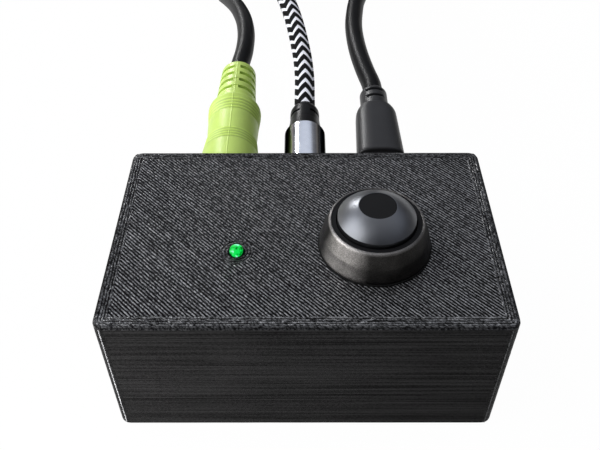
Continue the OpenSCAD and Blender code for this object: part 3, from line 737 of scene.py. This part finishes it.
@dataclass
class PrintedBox:
    """The printed shell: raised beads over the top and layer lines round the walls."""

    wardrobe: Wardrobe
    width: float = 75.0
    depth: float = 48.0
    height: float = 32.0
    corner: float = 2.0
    pitch: float = 0.585
    layer: float = 0.25
    borders: int = 4
    bead_rise: float = 0.12
    bead_power: float = 2.4
    # Depth along the front edge where the top's loops carry a painted highlight.
    lit_front_strip: float = 2.6
    wall_foot: float = 0.85
    lip: float = 0.45
    bulge: float = 0.055
    ridge_angle: float = 19.5
    ridge_shift: float = 2.5
    ridge_half: float = 0.13
    ringed_holes: tuple[tuple[Point, int], ...] = (((-13.25, -5.8, 1.57), 3), ((13.2, -3.9, 9.62), 1))
    jacks: tuple[Pair, ...] = ((-17.5, 24.0), (0.0, 24.0))
    jack_r: float = 3.1
    port: Pair = (17.5, 25.02)
    port_r: float = 2.2
    port_half: float = 2.9
    random: np.random.Generator = field(default_factory=lambda: np.random.default_rng(7))

    def build(self) -> None:
        """Dress the CAD shell and lay the printed skins over it."""
        self.wardrobe.dress({PRINT_WALL: "upper_shell base_plate"})
        rim = MeshData()
        self.top(rim)
        self.walls(rim)
        self.corner_ridges()
        self.skin("print_rim", rim, PRINT_RIM)

    def skin(self, name: str, mesh: MeshData, finish: Finish) -> None:
        """Make one of the printed skins."""
        mesh.build(name, self.wardrobe.material(finish), Body.BOX, "printed_plastic")

    def rounded(self, inset: float, step: float) -> Array:
        """A closed path round the box.

        Args:
            inset: Distance inside the outer face.
            step: Spacing of the points along the sides.

        Returns:
            Rows of x, y and the outward normal's x and y.
        """
        radius = max(self.corner - inset, 0.25)
        half_w, half_d = self.width / 2 - inset - radius, self.depth / 2 - inset - radius
        rows: list[Span] = []
        signs = ((1, -1, -90), (1, 1, 0), (-1, 1, 90), (-1, -1, 180))
        corners = [(a * half_w, b * half_d, start) for a, b, start in signs]
        for index, (x, y, start) in enumerate(corners):
            for k in range(7):
                a = math.radians(start + 15 * k)
                rows.append((x + radius * math.cos(a), y + radius * math.sin(a), math.cos(a), math.sin(a)))
            x1, y1, _, _ = rows[-1]
            nx, ny = math.cos(math.radians(start + 90)), math.sin(math.radians(start + 90))
            cx, cy, _ = corners[(index + 1) % 4]
            x2, y2 = cx + radius * nx, cy + radius * ny
            count = max(2, round(math.hypot(x2 - x1, y2 - y1) / step))
            for k in range(1, count):
                rows.append((x1 + (x2 - x1) * k / count, y1 + (y2 - y1) * k / count, nx, ny))
        return np.array(rows)

    def wobble(self, count: int, size: float) -> Array:
        """Smooth random change along a path.

        Args:
            count: Number of points.
            size: Spread of the result.

        Returns:
            One value per point.
        """
        kernel = np.array([1, 3, 5, 6, 6, 5, 3, 1, 0.5]) / 30.5
        raw = self.random.normal(0.0, 1.0, count + len(kernel) - 1)
        return np.convolve(raw, kernel, "valid")[:count] * size * 2.4

    def bead(self, mesh: MeshData, path: Array, laying: Laying, pale: Array | float = 1.0) -> None:
        """Lay one raised line of plastic on the top face.

        Args:
            mesh: Where the line goes.
            path: Points of its middle, x and y.
            laying: How evenly it is laid, and whether it is a loop.
            pale: Factor on its tone.
        """
        ahead = np.roll(path, -1, axis=0) - np.roll(path, 1, axis=0)
        if not laying.closed:
            ahead[0], ahead[-1] = path[1] - path[0], path[-1] - path[-2]
        ahead /= np.linalg.norm(ahead, axis=1)[:, None]
        side = np.stack([-ahead[:, 1], ahead[:, 0]], axis=1)
        count = len(path)
        height = self.bead_rise * (1 + self.random.normal(0, 0.12)) + self.wobble(count, 0.010)
        height += self.random.normal(0, laying.lumps, count)
        drift = self.wobble(count, 0.018) + self.random.normal(0, laying.sway, count)
        half = self.pitch / 2 * (1 + self.random.normal(0, 0.05)) + self.wobble(count, 0.014)
        tone = np.full(count, 1 + self.random.normal(0, 0.12)) + self.wobble(count, 0.06)
        if laying.closed:
            tone = np.maximum(laying.tone * tone + self.random.normal(0, laying.speckle, count), 0.1)
        else:
            height[[0, -1]] *= 0.35
        across = np.array([-1.0, -0.86, -0.5, 0.0, 0.5, 0.86, 1.0])
        crown = 1 - np.abs(across) ** self.bead_power
        shift = drift[:, None] + half[:, None] * across
        grid = beside(path, side, shift, self.height + 0.004 + np.maximum(height, 0.03)[:, None] * crown)
        tones = np.tile((tone * pale)[:, None], (1, len(across)))
        uv = np.stack([np.tile(across * laying.place, (count, 1)), tones], axis=-1)
        if laying.closed:
            grid, uv = np.concatenate([grid, grid[:1]]), np.concatenate([uv, uv[:1]])
        mesh.grid(grid[:, ::-1], uv=uv[:, ::-1])

    def rim_bead(self, rim: MeshData) -> None:
        """Lay the smooth outermost loop, a little below the top face.

        Args:
            rim: Where the loop goes.
        """
        path = self.rounded(0.32, 0.5)
        across = np.linspace(-1.0, 1.0, 7)
        crown = 1 - np.abs(across) ** self.bead_power
        rise = (self.bead_rise + self.wobble(len(path), 0.008))[:, None] * crown
        shift = np.tile(across * self.pitch / 2, (len(path), 1))
        grid = beside(path[:, :2], path[:, 2:], shift, self.height - 0.086 + rise)
        grid = np.concatenate([grid, grid[:1]])
        # Painted highlight: the rim bead is lighter along the front, darker at the sides and rear.
        tone = np.where(grid[..., 1] < self.lit_front_strip - self.depth / 2, 0.8, 0.3)
        rim.grid(grid, uv=np.stack([np.tile(0.5 * across, (len(grid), 1)), tone], axis=-1))

    def free_spans(self, start: Array, along: Array, reach: float) -> list[Pair]:
        """Stretches of a diagonal line that lie inside the border and outside the holes.

        Args:
            start: A point of the line.
            along: Its direction.
            reach: Half of the longest possible stretch.

        Returns:
            Pairs of distances along the line.
        """
        steps = np.arange(-reach, reach, 0.1)
        spots = start + steps[:, None] * along
        inset = self.borders * self.pitch
        inside = np.abs(spots[:, 0]) < self.width / 2 - inset
        inside &= np.abs(spots[:, 1]) < self.depth / 2 - inset
        for (x, y, r), rings in self.ringed_holes:
            inside &= np.hypot(spots[:, 0] - x, spots[:, 1] - y) > r + rings * self.pitch
        edges = np.flatnonzero(np.diff(np.concatenate([[0], inside.astype(int), [0]])))
        return [(steps[a], steps[b - 1]) for a, b in zip(edges[::2], edges[1::2], strict=True) if b - a > 4]

    def top(self, rim: MeshData) -> None:
        """Lay the border loops, the rings round the holes and the diagonal fill.

        Args:
            rim: Where the outermost loop goes.
        """
        mesh = MeshData()
        for k in range(self.borders):
            loop = self.rounded(0.38 + (k + 0.5) * self.pitch * 0.92, 0.5)[:, :2]
            # Painted highlight: border loops are lighter along the front.
            front = loop[:, 1] < self.lit_front_strip - self.depth / 2
            self.bead(mesh, loop, LOOP, np.where(front, 0.95, 0.6))
        self.rim_bead(rim)
        for (x, y, r), rings in self.ringed_holes:
            for k in range(rings):
                radius = r + (k + 0.5) * self.pitch
                turn = np.linspace(0, 2 * math.pi, max(24, int(radius * 8)), endpoint=False)
                ring = np.stack([x + radius * np.cos(turn), y + radius * np.sin(turn)], axis=1)
                self.bead(mesh, ring, LOOP, 0.52)
        along = np.array([1.0, -1.0]) / math.sqrt(2)
        across = np.array([1.0, 1.0]) / math.sqrt(2)
        reach = (self.width + self.depth) / 2
        for offset in np.arange(-reach * 0.7, reach * 0.7, self.pitch):
            for a, b in self.free_spans(across * offset, along, reach):
                count = max(3, round((b - a) / 0.5))
                spots = across * offset + np.linspace(a - 0.12, b + 0.12, count)[:, None] * along
                self.bead(mesh, spots, FILL)
        self.skin("print_top_beads", mesh, PRINT_TOP)

    def walls(self, rim: MeshData) -> None:
        """Wrap the walls in layer lines, open where the connectors pass.

        Args:
            rim: Where the rounded lip under the top face goes.
        """
        path = self.rounded(0.0, 1.0)
        count = len(path)
        rings: list[Array] = []
        layers = int((self.height - self.lip - self.wall_foot) / self.layer)
        drift = self.wobble(layers + 1, 0.003)
        for k in range(layers + 1):
            low = self.wall_foot + k * self.layer
            shift = drift[k] + self.random.normal(0, 0.004)
            rough = self.wobble(count, 0.005)
            for t, share in ((0.06, 0.2), (0.25, 0.85), (0.5, 1.0), (0.75, 0.85)):
                out = self.bulge + shift + rough + self.bulge * share
                spots = path[:, :2] + path[:, 2:] * np.maximum(out, 0.008)[:, None]
                rings.append(np.column_stack([spots, np.full(count, low + t * self.layer)]))
        for inset, rise in ((0.0, -0.42), (0.16, -0.16), (0.42, 0.03)):
            spots = path[:, :2] - path[:, 2:] * (inset - 0.03)
            rings.append(np.column_stack([spots, np.full(count, self.height + rise)]))
        grid = np.stack(rings)
        turned = np.roll(grid, -1, axis=1)
        middle = (grid[:-1] + grid[1:] + turned[:-1] + turned[1:]) / 4
        rear = middle[..., 1] > self.depth / 2 - 0.1
        x, z = middle[..., 0], middle[..., 2]
        wide = np.maximum(np.abs(x - self.port[0]) - self.port_half, 0)
        hole = np.hypot(wide, z - self.port[1]) < self.port_r
        for jack_x, jack_z in self.jacks:
            hole |= np.hypot(x - jack_x, z - jack_z) < self.jack_r
        upright = np.abs(path[:, 2:]).max(axis=1) < 0.98
        edge = np.broadcast_to(upright | np.roll(upright, -1), hole.shape)
        lip = np.arange(len(hole))[:, None] >= len(hole) - 3
        plain = np.full((*grid.shape[:2], 2), (0.16, 0.75))
        rim.grid(grid, wrap=True, keep=np.broadcast_to(lip, hole.shape), uv=plain)
        # The rounded corners take the print_edge colour, a painted shade.
        for name, finish, keep in (("print_wall_layers", PRINT_WALL, ~edge & ~lip & ~(rear & hole)),
                                   ("print_wall_edges", PRINT_EDGE, edge & ~lip)):
            mesh = MeshData()
            mesh.grid(grid, wrap=True, keep=keep)
            self.skin(name, mesh, finish)

    def corner_ridges(self) -> None:
        """Run the thin ridge that the print head leaves as it turns up each corner, coloured as a painted
        highlight.
        """
        heights = np.arange(0.9, self.height - 0.5, self.layer / 2)
        count = len(heights)
        across = np.array([-1.0, -0.5, 0.0, 0.5, 1.0])
        mesh = MeshData()
        # Painted highlight: each corner's tone, brightest on the left front and darkest on the right front,
        # as the light falls.
        for side, end, tone in ((-1, -1, 1.0), (1, -1, 0.17), (1, 1, 0.4), (-1, 1, 0.4)):
            turn = math.radians(self.ridge_angle - side * self.ridge_shift)
            out = np.array([side * math.sin(turn), end * math.cos(turn)])
            along = np.array([-out[1], out[0]])
            middle = np.array([side * (self.width / 2 - self.corner), end * (self.depth / 2 - self.corner)])
            blob = np.tile([0.0, 0.03], count)[:count] + self.random.normal(0, 0.012, count)
            drift = self.random.normal(0, 0.02, count)
            grid = np.zeros((count, len(across), 3))
            for k, t in enumerate(across):
                lift = self.corner + 0.09 + (0.07 + blob) * (1 - t * t)
                grid[:, k, :2] = middle + out * lift[:, None] + along * (drift + self.ridge_half * t)[:, None]
                grid[:, k, 2] = heights
            mesh.grid(grid, uv=np.full((count, len(across), 2), (0.0, tone)))
        self.skin("print_ridge_highlights", mesh, PRINT_RIDGE_HIGHLIGHT)


@dataclass
class PushButton:
    """The metal button: bezel, gasket, dark ring, cap, and the parts below the top; millimetres."""

    wardrobe: Wardrobe
    place: Pair = (13.2, -3.9)
    wire: float = 0.7
    turns: int = 5
    coil_r: float = 4.5
    low: float = 30.1
    high: float = 37.4
    travel: float = 2.0

    def build(self) -> None:
        """Dress the button's CAD nodes and wind its return spring."""
        self.spring()
        self.wardrobe.dress({
            BEZEL: "button_bezel",
            CAP: "button_cap",
            # cap_inlay's dark colour is a painted dark reflection on the cap's flat top.
            DARK: "button_ring cap_inlay",
            RUBBER: "button_gasket",
            STEEL: "button_nut stem_clip",
            WHITE: "button_stem",
            BLACK: "contact_block",
            GOLD: "contact_bridge button_terminals",
        })

    def spring(self) -> None:
        """Wind the return spring."""
        share = np.linspace(0.0, 1.0, 32 * self.turns + 1)
        turn = 2 * math.pi * self.turns * share
        height = self.low + self.wire / 2 + (self.high - self.low - self.wire) * share
        across = self.place[0] + self.coil_r * np.cos(turn)
        along = self.place[1] + self.coil_r * np.sin(turn)
        line = np.stack([across, along, height], axis=1)
        rings = swept(line, self.wire, 12)
        ends = line[[0, -1], None] + (rings[[0, -1]] - line[[0, -1], None]) * 0.02
        mesh = MeshData()
        mesh.grid(np.concatenate([ends[:1], rings, ends[1:]])[:, ::-1], wrap=True)
        obj = mesh.build("return_spring", self.wardrobe.material(STEEL), Body.BOX, "zinc_steel")
        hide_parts("button_spring")
        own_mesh(obj)


@dataclass
class Electronics:
    """The light, the circuit board with its parts, the fixings and the feet."""

    wardrobe: Wardrobe

    def build(self) -> None:
        """Dress the CAD nodes inside and under the box."""
        self.wardrobe.dress({
            GLOW: "led_lens",
            STEEL: "led_leads board_screws base_screws usb_port_shell crystal",
            MASK: "circuit_board",
            LIME: "line_out_jack",
            BLACK: "line_in_jack usb_port_tongue audio_chip controller_chip",
            RELAY: "relay",
            CAN: "capacitors",
            TAN: "chip_parts",
            WHITE: "button_header",
            WIRE: "button_wires",
            RUBBER: "rubber_feet",
        })


# Middle of the pile of coils and radius of its outer turns, in millimetres.
PILE_Y = 187.5
COIL_R = 32.0


def ease(t: float) -> float:
    """Smooth step from 0 to 1, held at both ends."""
    t = min(1.0, max(0.0, t))
    return t * t * (3 - 2 * t)


def part_way(t: float, start: float, end: float, a: Array, b: Array) -> Array:
    """The point that lies between a and b as t lies between start and end."""
    return (end - t) / (end - start) * a + (t - start) / (end - start) * b


@dataclass(frozen=True)
class Coil:
    """Turns of a lead piled behind the view, as the CAD lays them; millimetres."""

    start: float
    way: int
    first_z: float
    last_z: float
    step: float
    turns: float = 2.25
    per_turn: int = 24

    def points(self) -> list[Point]:
        """The middle of the cord: in on one layer, over in half a turn, out on the other.

        Returns:
            Points, the same number in each turn.
        """
        found: list[Point] = []
        total = 2 * self.turns + 0.5
        for i in range(round(self.per_turn * total) + 1):
            u = i / self.per_turn
            r = COIL_R - self.step * (u if u < self.turns + 0.25 else total - u)
            a = math.radians(self.start + self.way * 360 * u)
            z = self.first_z + (self.last_z - self.first_z) * ease((u - self.turns) / 0.5)
            found.append((r * math.cos(a), PILE_Y + r * math.sin(a), z))
        return found


def top_turn(low: float, high: float, end: float) -> list[Point]:
    """Last turn of the braided lead, up on to the pile and into its plug; millimetres.

    Args:
        low: Height where it starts.
        high: Height on top of the turns below.
        end: Height of the plug's axis.

    Returns:
        The turn's points.
    """
    found: list[Point] = []
    steps = 20
    for i in range(1, steps + 1):
        k = i / steps
        a = math.radians(120 - 300 * k)
        r = COIL_R - 12.0 * ease((k - 0.25) / 0.75)
        z = low + (high - low) * ease(k / 0.28) + (end - high) * ease((k - 0.6) / 0.4)
        found.append((r * math.cos(a), PILE_Y + r * math.sin(a), z))
    return found


@dataclass
class Lead:
    """One lead: its cord from the plug at the box to the plug at its far end."""

    wardrobe: Wardrobe
    name: str
    body: Body
    finish: Finish
    slot: str
    diameter: float
    route: list[Point]
    solids: tuple[str, ...]
    ends: tuple[str, ...]
    stiffness: str = "medium"
    sides: int = 20
    pieces: tuple[bpy.types.Object, ...] = ()

    def centre(self) -> Array:
        """One smooth line through the route's points.

        Returns:
            Points about 1.5 mm apart, in millimetres.
        """
        pts = np.array(self.route, float)
        pts = np.concatenate([[2 * pts[0] - pts[1]], pts, [2 * pts[-1] - pts[-2]]])
        line: list[Array] = []
        for p0, p1, p2, p3 in zip(pts[:-3], pts[1:-2], pts[2:-1], pts[3:], strict=True):
            pairs = ((p0, p1), (p1, p2), (p2, p3))
            steps = (max(np.linalg.norm(b - a), 1e-6) ** 0.5 for a, b in pairs)
            t0, t1, t2, t3 = np.cumsum([0.0, *steps])
            count = max(2, round(float(np.linalg.norm(p2 - p1)) / 1.5))
            for t in np.linspace(t1, t2, count, endpoint=False):
                a1 = part_way(t, t0, t1, p0, p1)
                a2 = part_way(t, t1, t2, p1, p2)
                a3 = part_way(t, t2, t3, p2, p3)
                b1 = part_way(t, t0, t2, a1, a2)
                b2 = part_way(t, t1, t3, a2, a3)
                line.append(part_way(t, t1, t2, b1, b2))
        line.append(pts[-2])
        return np.array(line)

    def build(self) -> bpy.types.Object:
        """Returns:
            The cord's object.
        """
        line = self.centre()
        mesh = MeshData()
        mesh.grid(swept(line, self.diameter, self.sides)[:, ::-1], wrap=True)
        along = np.concatenate([[0.0], np.cumsum(np.linalg.norm(np.diff(line, axis=0), axis=1))])
        mesh.uvs.append(self.unwrap(along))
        obj = mesh.build(self.name, self.wardrobe.material(self.finish), self.body, self.slot)
        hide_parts(*self.solids)
        LOG.info("%s: %.3f m", self.name, along[-1] * MM)
        return obj

    def unwrap(self, along: Array) -> Array:
        """UVs of the swept tube: turns round it, and millimetres along it.

        Args:
            along: Distance of each ring from the start.

        Returns:
            One pair for each face corner, in face order.
        """
        rows, cols = len(along) - 1, self.sides
        u = 1.0 - np.arange(cols) / cols
        low = np.stack([np.tile(u, (rows, 1)), np.repeat(along[:-1, None], cols, 1)], axis=-1)
        high = np.stack([np.tile(u, (rows, 1)), np.repeat(along[1:, None], cols, 1)], axis=-1)
        shift = np.array([-1.0 / cols, 0.0])
        return np.stack([low, low + shift, high + shift, high], axis=2).reshape(-1, 2)


@dataclass
class UsbGrip:
    """The moulded grip of the USB plug with its slotted strain relief; millimetres."""

    wardrobe: Wardrobe
    place: Point = (17.5, 24.0, 25.02)
    front: float = 5.6
    end: float = 24.4
    shoulder: float = 3.0
    half_w: float = 5.5
    taper: float = 0.034
    half_h: float = 3.8
    edge: float = 0.5
    squareness: float = 3.0
    relief_r: float = 3.45
    relief_end: float = 31.7
    slots: tuple[float, ...] = (2.4, 5.0)
    slot_len: float = 0.9
    slot_deep: float = 0.8
    slot_half: float = 2.2
    sides: int = 72

    def build(self) -> bpy.types.Object:
        """Loft the grip and the relief, and let them stand for the CAD sleeve.

        Returns:
            The grip's object.
        """
        rings = self.grip() + self.relief()
        middles = [ring.mean(axis=0) for ring in (rings[0], rings[-1])]
        caps = [m + (ring - m) * 0.02 for m, ring in zip(middles, (rings[0], rings[-1]), strict=True)]
        mesh = MeshData()
        mesh.grid(np.stack([caps[0], *rings, caps[1]])[:, ::-1], wrap=True)
        obj = mesh.build("usb_grip", self.wardrobe.material(PLUG_BLACK), Body.USB, "plug_black")
        obj.data.set_sharp_from_angle(angle=math.radians(38))
        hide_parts("usb_sleeve")
        return obj

    def ring(self, along: float, half_w: float, half_h: float, power: float) -> Array:
        """One rounded outline across the plug.

        Args:
            along: Distance behind the rear wall.
            half_w: Half of its width.
            half_h: Half of its height.
            power: 2 for an ellipse, more for squarer corners.

        Returns:
            Points round the outline.
        """
        turn = np.linspace(0, 2 * math.pi, self.sides, endpoint=False)
        x = half_w * np.sign(np.cos(turn)) * np.abs(np.cos(turn)) ** (2 / power)
        z = half_h * np.sign(np.sin(turn)) * np.abs(np.sin(turn)) ** (2 / power)
        return np.stack([x, np.full(self.sides, along), z], axis=1) + np.array(self.place)

    def grip(self) -> list[Array]:
        """The grip: a rounded front edge, a long taper and shoulders that draw in.

        Returns:
            Rings from the front to the shoulders' end.
        """
        found: list[Array] = []
        for turn in np.linspace(0.0, math.pi / 2, 5):
            inset = self.edge * (1 - math.sin(turn))
            along = self.front + self.edge * (1 - math.cos(turn))
            found.append(self.ring(along, self.half_w - inset, self.half_h - inset, self.squareness))
        first = self.front + self.edge
        last = self.end - 0.3
        for along in np.linspace(first + 0.5, last, 28):
            drawn = max(0.0, (along - last + self.shoulder) / self.shoulder) ** 2.2
            wide = self.half_w - self.taper * (along - first)
            wide += (self.relief_r + 0.6 - wide) * drawn
            found.append(self.ring(along, wide, self.half_h, self.squareness - 0.3 * drawn))
        return found

    def relief(self) -> list[Array]:
        """The strain relief: a round neck with slots across its top and bottom.

        Returns:
            Rings from the grip to the cord.
        """
        stations = [(self.end, 0.0, False)]
        for slot in self.slots:
            start, stop = self.end + slot, self.end + slot + self.slot_len
            stations += [(start - 0.02, 0.0, False), (start, 0.0, True)]
            stations += [(stop, 0.0, True), (stop + 0.02, 0.0, False)]
        for back, inset in ((0.7, 0.0), (0.2, 0.2), (0.0, 0.6)):
            stations.append((self.relief_end - back, inset, False))
        found: list[Array] = []
        for along, inset, cut in stations:
            ring = self.ring(along, self.relief_r - inset, self.relief_r - inset, 2.0)
            if cut:
                middle = np.array([self.place[0], ring[0, 1], self.place[2]])
                deep = np.abs(ring[:, 0] - middle[0]) < self.slot_half
                ring[deep] = middle + (ring[deep] - middle) * (1 - self.slot_deep / self.relief_r)
            found.append(ring)
        return found


@dataclass
class Leads:
    """The three leads with the plugs at both ends, as the CAD lays them."""

    wardrobe: Wardrobe

    def build(self) -> None:
        """Build the cords and dress the plugs."""
        for lead in (self.line_out(), self.line_in(), self.usb()):
            lead.build()
        self.wardrobe.dress({
            LIME: "line_out_plug speaker_plug",
            GOLD: "line_out_pin line_in_pin speaker_pin player_pin",
            BLACK: "line_out_bands line_in_bands",
            CHROME_PLUG: "line_in_shell",
            CHROME: "player_shell",
            COLLAR: "line_in_collar player_collar",
            PLUG_BLACK: "usb_nose host_sleeve",
            STEEL: "usb_plug_shell host_shell",
            WHITE: "host_tongue",
            STRAP: "line_out_tie line_in_tie usb_tie",
        })

    def line_out(self) -> Lead:
        """The black cord of the lime plug, lowest in the pile.

        Returns:
            The lead.
        """
        route = [(-17.5, 67, 24), (-17.5, 71, 24), (-16.75, 78, 24), (-16.65, 86, 23.6), (-17.2, 93, 23),
                 (-18.3, 100, 22), (-20, 107.5, 20.6), (-22, 115, 18.6), (-24.6, 124, 15.6),
                 (-27.6, 134, 12.2), (-30.2, 145, 9.8), (-31.7, 158, 9), (-32, 170, 9), (-32, 182.5, 9)]
        tail = [(-31.6, 197, 3.8), (-30.9, 203, 4.8), (-30.7, 209, 6.2), (-30.7, 214, 6.7), (-30.7, 219, 6.7)]
        coil = Coil(180, -1, 9.0, 3.4, 5.6)
        return Lead(self.wardrobe, "line_out_jacket", Body.LINE_OUT, JACKET, "black_cord", 5.0,
                    route + coil.points() + tail, ("line_out_cord", "line_out_coil"),
                    ("line_out_plug", "line_out_pin", "line_out_bands", "line_out_tie", "speaker_plug",
                     "speaker_pin"))

    def line_in(self) -> Lead:
        """The braided cord of the chrome plug, on top of the pile.

        Returns:
            The lead.
        """
        route = [(0, 51, 24), (0, 56, 24), (0, 65, 24.1), (-0.5, 74, 24.3), (-1.15, 80, 24.5),
                 (-1.95, 86.5, 24.7), (-2.95, 93, 25), (-4.3, 100, 25.4), (-6.2, 107.5, 25.9),
                 (-9.3, 117, 26.6), (-13.9, 128, 27.2), (-19.6, 140, 28), (-25.4, 152, 28.1),
                 (-30, 164, 28.1), (-32, 175, 28.1), (-32, 182.5, 28.1)]
        coil = Coil(180, -1, 28.1, 34.2, 6.1, turns=2.25 + 1 / 12)
        last = [*top_turn(34.2, 40.3, 41.98), (-20, 192.7, 41.98)]
        return Lead(self.wardrobe, "line_in_braid", Body.LINE_IN, BRAID, "braid", 5.2,
                    route + coil.points() + last, ("line_in_cord", "line_in_coil"),
                    ("line_in_shell", "line_in_collar", "line_in_pin", "line_in_bands", "line_in_tie",
                     "player_shell", "player_collar", "player_pin"), stiffness="limp", sides=24)

    def usb(self) -> Lead:
        """The black cord of the USB plug, in the middle of the pile.

        Returns:
            The lead.
        """
        route = [(17.5, 55.7, 25.02), (17.4, 60, 25.02), (16.2, 67, 24.9), (15.2, 74, 24.8),
                 (14.65, 80, 24.6), (14.35, 86.5, 24.4), (14.45, 93, 24.1), (15.05, 100, 23.8),
                 (16.1, 107.5, 23.4), (18.4, 116, 22.9), (22, 126, 22.4), (26, 137, 21.9),
                 (29.4, 149, 21.6), (31.4, 161, 21.3), (32, 172, 21.3), (32, 182.5, 21.3)]
        tail = [(32, 192.5, 15.7), (32, 200, 15.7), (31.4, 212, 15.2), (30.4, 221, 14.4), (29.6, 229, 11.6),
                (29.2, 237, 7.8), (29, 244, 5), (29, 249, 4.2), (29, 254, 4.2)]
        coil = Coil(0, 1, 21.3, 15.7, 5.6)
        return Lead(self.wardrobe, "usb_jacket", Body.USB, JACKET, "black_cord", 5.0,
                    route + coil.points() + tail, ("usb_cord", "usb_coil", "usb_tail"),
                    ("usb_nose", "usb_plug_shell", "usb_tie", "host_sleeve", "host_shell", "host_tongue"),
                    pieces=(UsbGrip(self.wardrobe).build(),))


@dataclass(frozen=True)
class Lamp:
    """A square soft box that faces a target; metres, watts and radians."""

    name: str
    place: Point
    target: Point
    size: float
    power: float
    spread: float = math.pi
    mirrored: bool = True

    def hang(self) -> None:
        """Add the lamp to the scene."""
        data = bpy.data.lights.new(self.name, "AREA")
        data.size, data.energy, data.spread = self.size, self.power, self.spread
        obj = placed(self.name, data)
        obj.visible_glossy = self.mirrored
        obj.location = self.place
        ahead = Vector(self.target) - Vector(self.place)
        obj.rotation_euler = ahead.to_track_quat("-Z", "Y").to_euler()


@dataclass
class Stage:
    """Floor, light and camera."""

    lens: float = 44.7
    place: Point = (-0.000766, -0.103292, 0.135590)
    pitch: float = 0.7799
    yaw: float = -0.0035
    roll: float = 0.0037
    floor_half: float = 3.0
    floor_white: float = 0.98
    front_shade: Span = (-0.8, 0.1, 0.2, 1.0)
    left_glow: Span = (-0.90, -0.50, 3.6, 0.12)
    horizon: Span = (0.10, 0.30, 0.12, 1.0)
    heights: tuple[tuple[float, Colour], ...] = (
        (0.0, (0.42, 0.38, 0.33)),
        (0.16, (0.30, 0.28, 0.26)),
        (0.30, (0.10, 0.10, 0.11)),
        (0.44, (0.17, 0.175, 0.19)),
        (0.55, (0.55, 0.59, 0.69)),
        (0.78, (0.75, 0.78, 0.86)),
        (1.0, (0.62, 0.63, 0.66)),
    )
    lamps: tuple[Lamp, ...] = (
        Lamp("key", (-0.57, -0.13, 0.36), (0.0, 0.0, 0.02), 0.66, 5.1),
        Lamp("fill", (-0.12, -0.09, 0.012), (-0.025, -0.024, 0.016), 0.02, 0.027, 0.9, False),
        Lamp("strip", (-0.16, 0.50, 0.20), (0.014, 0.15, 0.045), 0.20, 0.05, 0.22),
    )

    def build(self) -> None:
        """Set the camera, the pale floor, the sky and the lamps."""
        self.camera()
        self.floor()
        self.sky()
        for lamp in self.lamps:
            lamp.hang()
        bpy.context.scene.view_settings.view_transform = "Standard"

    def camera(self) -> None:
        """Put the camera where the photograph was taken from."""
        data = bpy.data.cameras.new("camera")
        data.lens = self.lens
        data.sensor_width = 36.0
        data.clip_start = 0.005
        level = Vector((math.sin(self.yaw), math.cos(self.yaw), 0.0))
        ahead = level * math.cos(self.pitch) - Vector((0.0, 0.0, math.sin(self.pitch)))
        right = Vector((math.cos(self.yaw), -math.sin(self.yaw), 0.0))
        down = ahead.cross(right)
        turned = right * math.cos(self.roll) + down * math.sin(self.roll)
        below = down * math.cos(self.roll) - right * math.sin(self.roll)
        basis = Matrix((turned, -below, -ahead)).transposed().to_4x4()
        basis.translation = Vector(self.place)
        obj = placed("camera", data)
        obj.matrix_world = basis
        bpy.context.scene.camera = obj

    def floor(self) -> None:
        """Lay a wide pale floor under the part."""
        mesh = bpy.data.meshes.new("floor")
        half = self.floor_half
        corners = [(-half, -half, 0), (half, -half, 0), (half, half, 0), (-half, half, 0)]
        mesh.from_pydata(corners, [], [(0, 1, 2, 3)])
        graph = Graph("floor")
        tone = graph.ramp(graph.noise(3.0, 2.0), (0.3, (0.93, 0.93, 0.93)), (0.7, (0.95, 0.95, 0.95)))
        graph.set(Base_Color=tone, Roughness=0.9)
        rays = graph.add("LightPath", {})
        seen = graph.math("MAXIMUM", rays.outputs["Is Camera Ray"], rays.outputs["Is Glossy Ray"])
        seen = graph.math("MAXIMUM", seen, rays.outputs["Is Transmission Ray"])
        white = graph.add("Emission", {"Color": (1, 1, 1, 1), "Strength": 1.0})
        share = graph.math("MULTIPLY", seen, self.floor_white)
        mix = graph.add("MixShader", {0: share, 1: graph.shader.outputs[0], 2: white.outputs[0]})
        graph.feed(graph.tree.nodes["Material Output"], 0, mix.outputs[0])
        mesh.materials.append(graph.material)
        placed("floor", mesh)

    def sky(self) -> None:
        """A soft tent over the part that darkens towards the horizon."""
        world = bpy.data.worlds.new("studio")
        bpy.context.scene.world = world
        world.use_nodes = True
        nodes = Nodes(world.node_tree)
        across, along, up = nodes.add("SeparateXYZ", {0: nodes.coords.outputs["Generated"]}).outputs
        colour = nodes.ramp(up, *self.heights)
        front = nodes.between(along, *self.front_shade)
        left = nodes.between(across, *self.left_glow)
        low = nodes.math("MAXIMUM", left, nodes.between(up, *self.horizon))
        for factor in (front, low):
            colour = nodes.add("VectorMath", {0: colour, "Scale": factor}, operation="SCALE").outputs[0]
        nodes.feed(nodes.tree.nodes["Background"], 0, colour)


def main() -> None:
    """Build the scene and log each assembly as it is built."""
    logging.basicConfig(level=logging.INFO)
    wardrobe = Wardrobe()
    Stage().build()
    for assembly in (Leads, PrintedBox, PushButton, Electronics):
        assembly(wardrobe).build()
        LOG.info("%s built", assembly.__name__)


if __name__ == "__main__":
    main()
